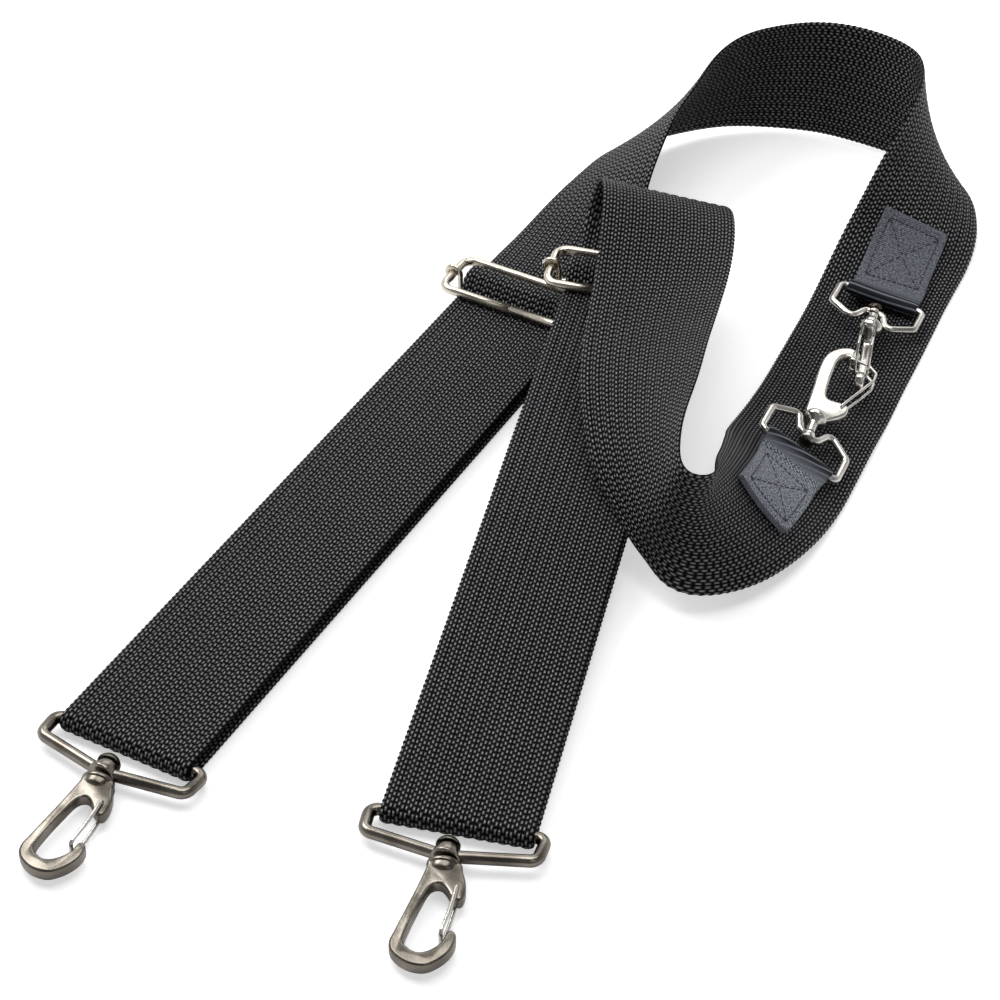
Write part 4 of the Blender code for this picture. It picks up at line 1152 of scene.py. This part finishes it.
def tape_material(name, painted_light):
    """Speckled slate knit, lightened by the painted light share for the more brightly lit lower tab; where
    the weave's third value marks the wrap, painted shade, dark with thin lighter lines.
    """
    made, tree, shader = start_material(name)
    place, parts = weave_place(tree)
    knit = pattern(tree, "ShaderNodeTexWave", place, scale=520.0, distortion=1.5, detail=2.0,
                   bands_direction="DIAGONAL")
    speckle = pattern(tree, "ShaderNodeTexNoise", place, scale=1150.0, detail=1.0, roughness=0.6)
    blend = calculate(tree, "MULTIPLY_ADD", knit, KNIT_SHARE, speckle)
    # The slate is scaled by the painted light, for the more brightly lit lower tab.
    pale = [part * painted_light for part in SLATE[:3]] + [1.0]
    tint = colour_ramp(tree, blend, (0.46, SLATE_DARK), (0.80, pale))
    line = pattern(tree, "ShaderNodeTexWave", place, scale=1 / WRAP_LINE_PITCH / WAVES_PER_UNIT,
                   bands_direction="Y")
    # Painted shade over the wrap, crossed by thin lighter lines.
    ribbed = colour_ramp(tree, line, (0.70, WRAP_PAINTED_SHADE), (0.97, WRAP_LINE))
    both = new_node(tree, "ShaderNodeMix", data_type="RGBA")
    for source, number in ((parts["Z"], 0), (tint, 6), (ribbed, 7)):
        tree.links.new(source, both.inputs[number])
    feed(tree, shader, base_color=both.outputs[2], roughness=0.7, specular_IOR_level=0.25,
         sheen_weight=0.05, sheen_roughness=0.4,
         normal=raised(tree, blend, strength=0.6, distance=0.0002))
    return made


SLATE_TAPE = tape_material("slate_knitted_tape", 1.0)
# A lighter copy of the same tape, as painted light on the lower tab.
LIT_SLATE_TAPE_PAINTED_LIGHT = tape_material("painted_light_slate_knitted_tape", LOWER_TAB_PAINTED_LIGHT)


def seam_stitches(side, place):
    """Short threads end to end along the square and its cross, half sunk in the tape."""
    low, high = SEAM_INSET_SHARE, 1 - SEAM_INSET_SHARE
    runs = (((low, low), (low, high)), ((low, high), (high, high)), ((high, high), (high, low)),
            ((high, low), (low, low)), ((low, low), (high, high)), ((low, high), (high, low)))
    height = WEB_THICK / 2 + GAP + 2 * TAPE_THICK - SEAM_DEPTH
    bm = bmesh.new()
    for start, end in runs:
        start, end = np.array(start), np.array(end)
        for k in range(STITCHES_A_SIDE):
            points = []
            for t, sink in STITCH_SINKS:
                share = (k + (1 - STITCH_FILL_SHARE) / 2 + STITCH_FILL_SHARE * t) / STITCHES_A_SIDE
                along, across = start + (end - start) * share
                rise = height + STITCH_THREAD * (STITCH_RISE_SHARE - sink)
                points.append(patch_point(place["corner_shares"], along, across, rise))
            tube_along(bm, points, STITCH_THREAD / 2, THREAD_SIDES)
    made = finish_piece(side + "_box_and_cross_seam", bm)
    return dress(made, BLACK_THREAD, "strap", side + "_tab_stitching")


def sewn_tab(side, place, tape):
    bar = small_loop_place(place)
    bm = bmesh.new()
    weave = bm.verts.layers.float_vector.new("weave")
    loops = []
    for column in range(TAB_COLUMNS + 1):
        across = column / TAB_COLUMNS
        loop = []
        length = 0.0
        last = None
        for point, wrap in tab_column(place, bar, across):
            length += (point - last).length if last is not None else 0.0
            last = point
            vert = bm.verts.new(point)
            vert[weave] = ((across - 1 / 2) * TAPE_WIDTH, length, wrap)
            loop.append(vert)
        loops.append(loop)
    join_and_close(bm, loops)
    made = finish_piece(side + "_slate_tab", bm, sharp=TAPE_SHARP)
    dress(made, tape, "strap", side + "_tab")
    seam = seam_stitches(side, place)


sewn_tab("upper", UPPER_PLACE, SLATE_TAPE)
sewn_tab("lower", LOWER_PLACE, LIT_SLATE_TAPE_PAINTED_LIGHT)


# Small hook loops
# A small cast loop in bright nickel with cut corners, whose outer bar dips into a deep arch
# that holds the small hook's head on a bored boss.

SMALL_HALF_WIDTH = 0.0167
SMALL_SIDE = 0.0130
SMALL_DIP = 0.0194
SMALL_DIP_HALF_WIDTH = 0.0070
SMALL_POCKET_HALF_WIDTH = 0.0036
SMALL_ARCH = 0.0115
SMALL_BOSS_RADIUS = 0.0024
SMALL_PLATED_WIRE = 0.0029
BRIGHT_NICKEL = (0.86, 0.84, 0.79, 1.0)
BRIGHT_NICKEL_DULL = (0.55, 0.52, 0.47, 1.0)
SMALL_NICKEL = plated_material("small_hook_nickel", BRIGHT_NICKEL, BRIGHT_NICKEL_DULL,
                               roughness=0.16, grain=800.0)


def small_loop(side, place):
    half = [(0, SMALL_HALF_WIDTH, 0), (SMALL_SIDE, SMALL_HALF_WIDTH, 0), (SMALL_DIP, SMALL_DIP_HALF_WIDTH, 0),
            (SMALL_ARCH, SMALL_POCKET_HALF_WIDTH, 0)]
    boss = boss_profile(SMALL_ARCH, SMALL_WIRE, SMALL_BOSS_RADIUS)
    made = bossed_loop(side + "_small_cast_loop", small_loop_place(place), half, SMALL_WIRE,
                       SMALL_PLATED_WIRE, GATE_SIDES, boss)
    dress(made, SMALL_NICKEL, side + "_small_hook_loop", side + "_small_hook_base")


small_loop("upper", UPPER_PLACE)
small_loop("lower", LOWER_PLACE)


# Small hook swivels and bodies
# Each small hook is cast with a round neck and a flared collar under its arch, a slim spine
# and a rounded nose. A low domed rivet holds it in the loop's boss.

SMALL_SHARES = (
    (0.15, -0.06), (0.19, -0.085), (0.26, -0.09), (0.50, -0.10), (0.74, -0.11), (0.87, -0.09),
    (0.95, -0.04), (0.99, 0.02), (1.00, 0.06), (0.985, 0.105), (0.95, 0.13), (0.88, 0.105),
    (0.90, 0.06), (0.89, 0.03), (0.86, 0.005), (0.76, -0.01), (0.56, -0.005), (0.43, 0.01),
    (0.38, 0.04), (0.38, 0.15), (0.35, 0.19), (0.28, 0.19), (0.21, 0.14), (0.15, 0.06),
)
SMALL_GATE_SHARES = (
    (0.33, 0.14), (0.43, 0.18), (0.58, 0.24), (0.70, 0.285), (0.78, 0.285), (0.84, 0.22), (0.86, 0.075),
)
SMALL_PLAY = 0.0020
SMALL_START = SMALL_WIRE / 2 + SMALL_PLAY / 2
SMALL_LENGTH = 0.0520
SMALL_THICK = 0.0032
SMALL_BEVEL = 0.0009
SMALL_NECK_RADIUS = 0.0018
SMALL_NECK_LENGTH = 0.0055
SMALL_COLLAR_RADIUS = 0.0044
SMALL_COLLAR_LENGTH = 0.0055
SMALL_COLLAR_SHARES = (
    (0.12, 0.60), (0.20, 0.80), (0.28, 0.93), (0.38, 1.0), (0.52, 1.0), (0.68, 0.96), (0.85, 0.78),
    (1.0, 0.4), (1.0, 0.0),
)
SMALL_SHANK_RADIUS = 0.0011
SMALL_DOME_RADIUS = 0.0030
SMALL_DOME_HEIGHT = 0.0016
SMALL_GATE_WIRE = 0.00105


def small_swivel_place(place):
    made = small_loop_place(place) @ Matrix.Translation((SMALL_ARCH, 0, 0))
    return made @ Matrix.Rotation(place["yaw"], 4, "Z") @ Matrix.Rotation(place["roll"], 4, "X")


def small_swivel(side, place):
    outer = SMALL_START - GAP
    profile = dome_profile(-SMALL_START, SMALL_DOME_RADIUS, SMALL_DOME_HEIGHT, SMALL_SHANK_RADIUS, outer)
    bm = bmesh.new()
    turned_solid(bm, profile)
    made = finish_piece(side + "_small_domed_rivet", bm, small_swivel_place(place), TURNED_SHARP)
    body = side + "_small_hook_swivelling_part"
    dress(made, HOOK_STEEL, body, side + "_small_hook_swivel")


def small_casting(side, place):
    bm = bmesh.new()
    cast_plate(bm, smooth_outline(SMALL_SHARES, SMALL_START, SMALL_LENGTH), SMALL_THICK, SMALL_BEVEL)
    neck = SMALL_START + SMALL_NECK_LENGTH
    profile = [(SMALL_START, 0), (SMALL_START, SMALL_NECK_RADIUS), (neck, SMALL_NECK_RADIUS)]
    for along, out in SMALL_COLLAR_SHARES:
        profile.append((neck + SMALL_COLLAR_LENGTH * along, SMALL_COLLAR_RADIUS * out))
    turned_solid(bm, profile)
    made = finish_piece(side + "_small_cast_hook", bm, small_swivel_place(place), CAST_SHARP)
    body = side + "_small_hook_swivelling_part"
    dress(made, SMALL_NICKEL, body, side + "_small_hook_body")


for side, place in (("upper", UPPER_PLACE), ("lower", LOWER_PLACE)):
    small_swivel(side, place)
    small_casting(side, place)


# Small hook gates
# The same doubled steel wire as on the end hooks, but bowed well out from the spine. Its ends
# sit in a bore through the body and its closed end bears on the nose.


def small_gate(side, place):
    made = doubled_wire(side + "_small_wire_gate", small_swivel_place(place), SMALL_GATE_SHARES,
                        SMALL_LENGTH, SMALL_THICK, SMALL_START, SMALL_GATE_WIRE)
    dress(made, SPRING_WIRE, side + "_small_hook_gate_wire", side + "_small_hook_gate")


small_gate("upper", UPPER_PLACE)
small_gate("lower", LOWER_PLACE)
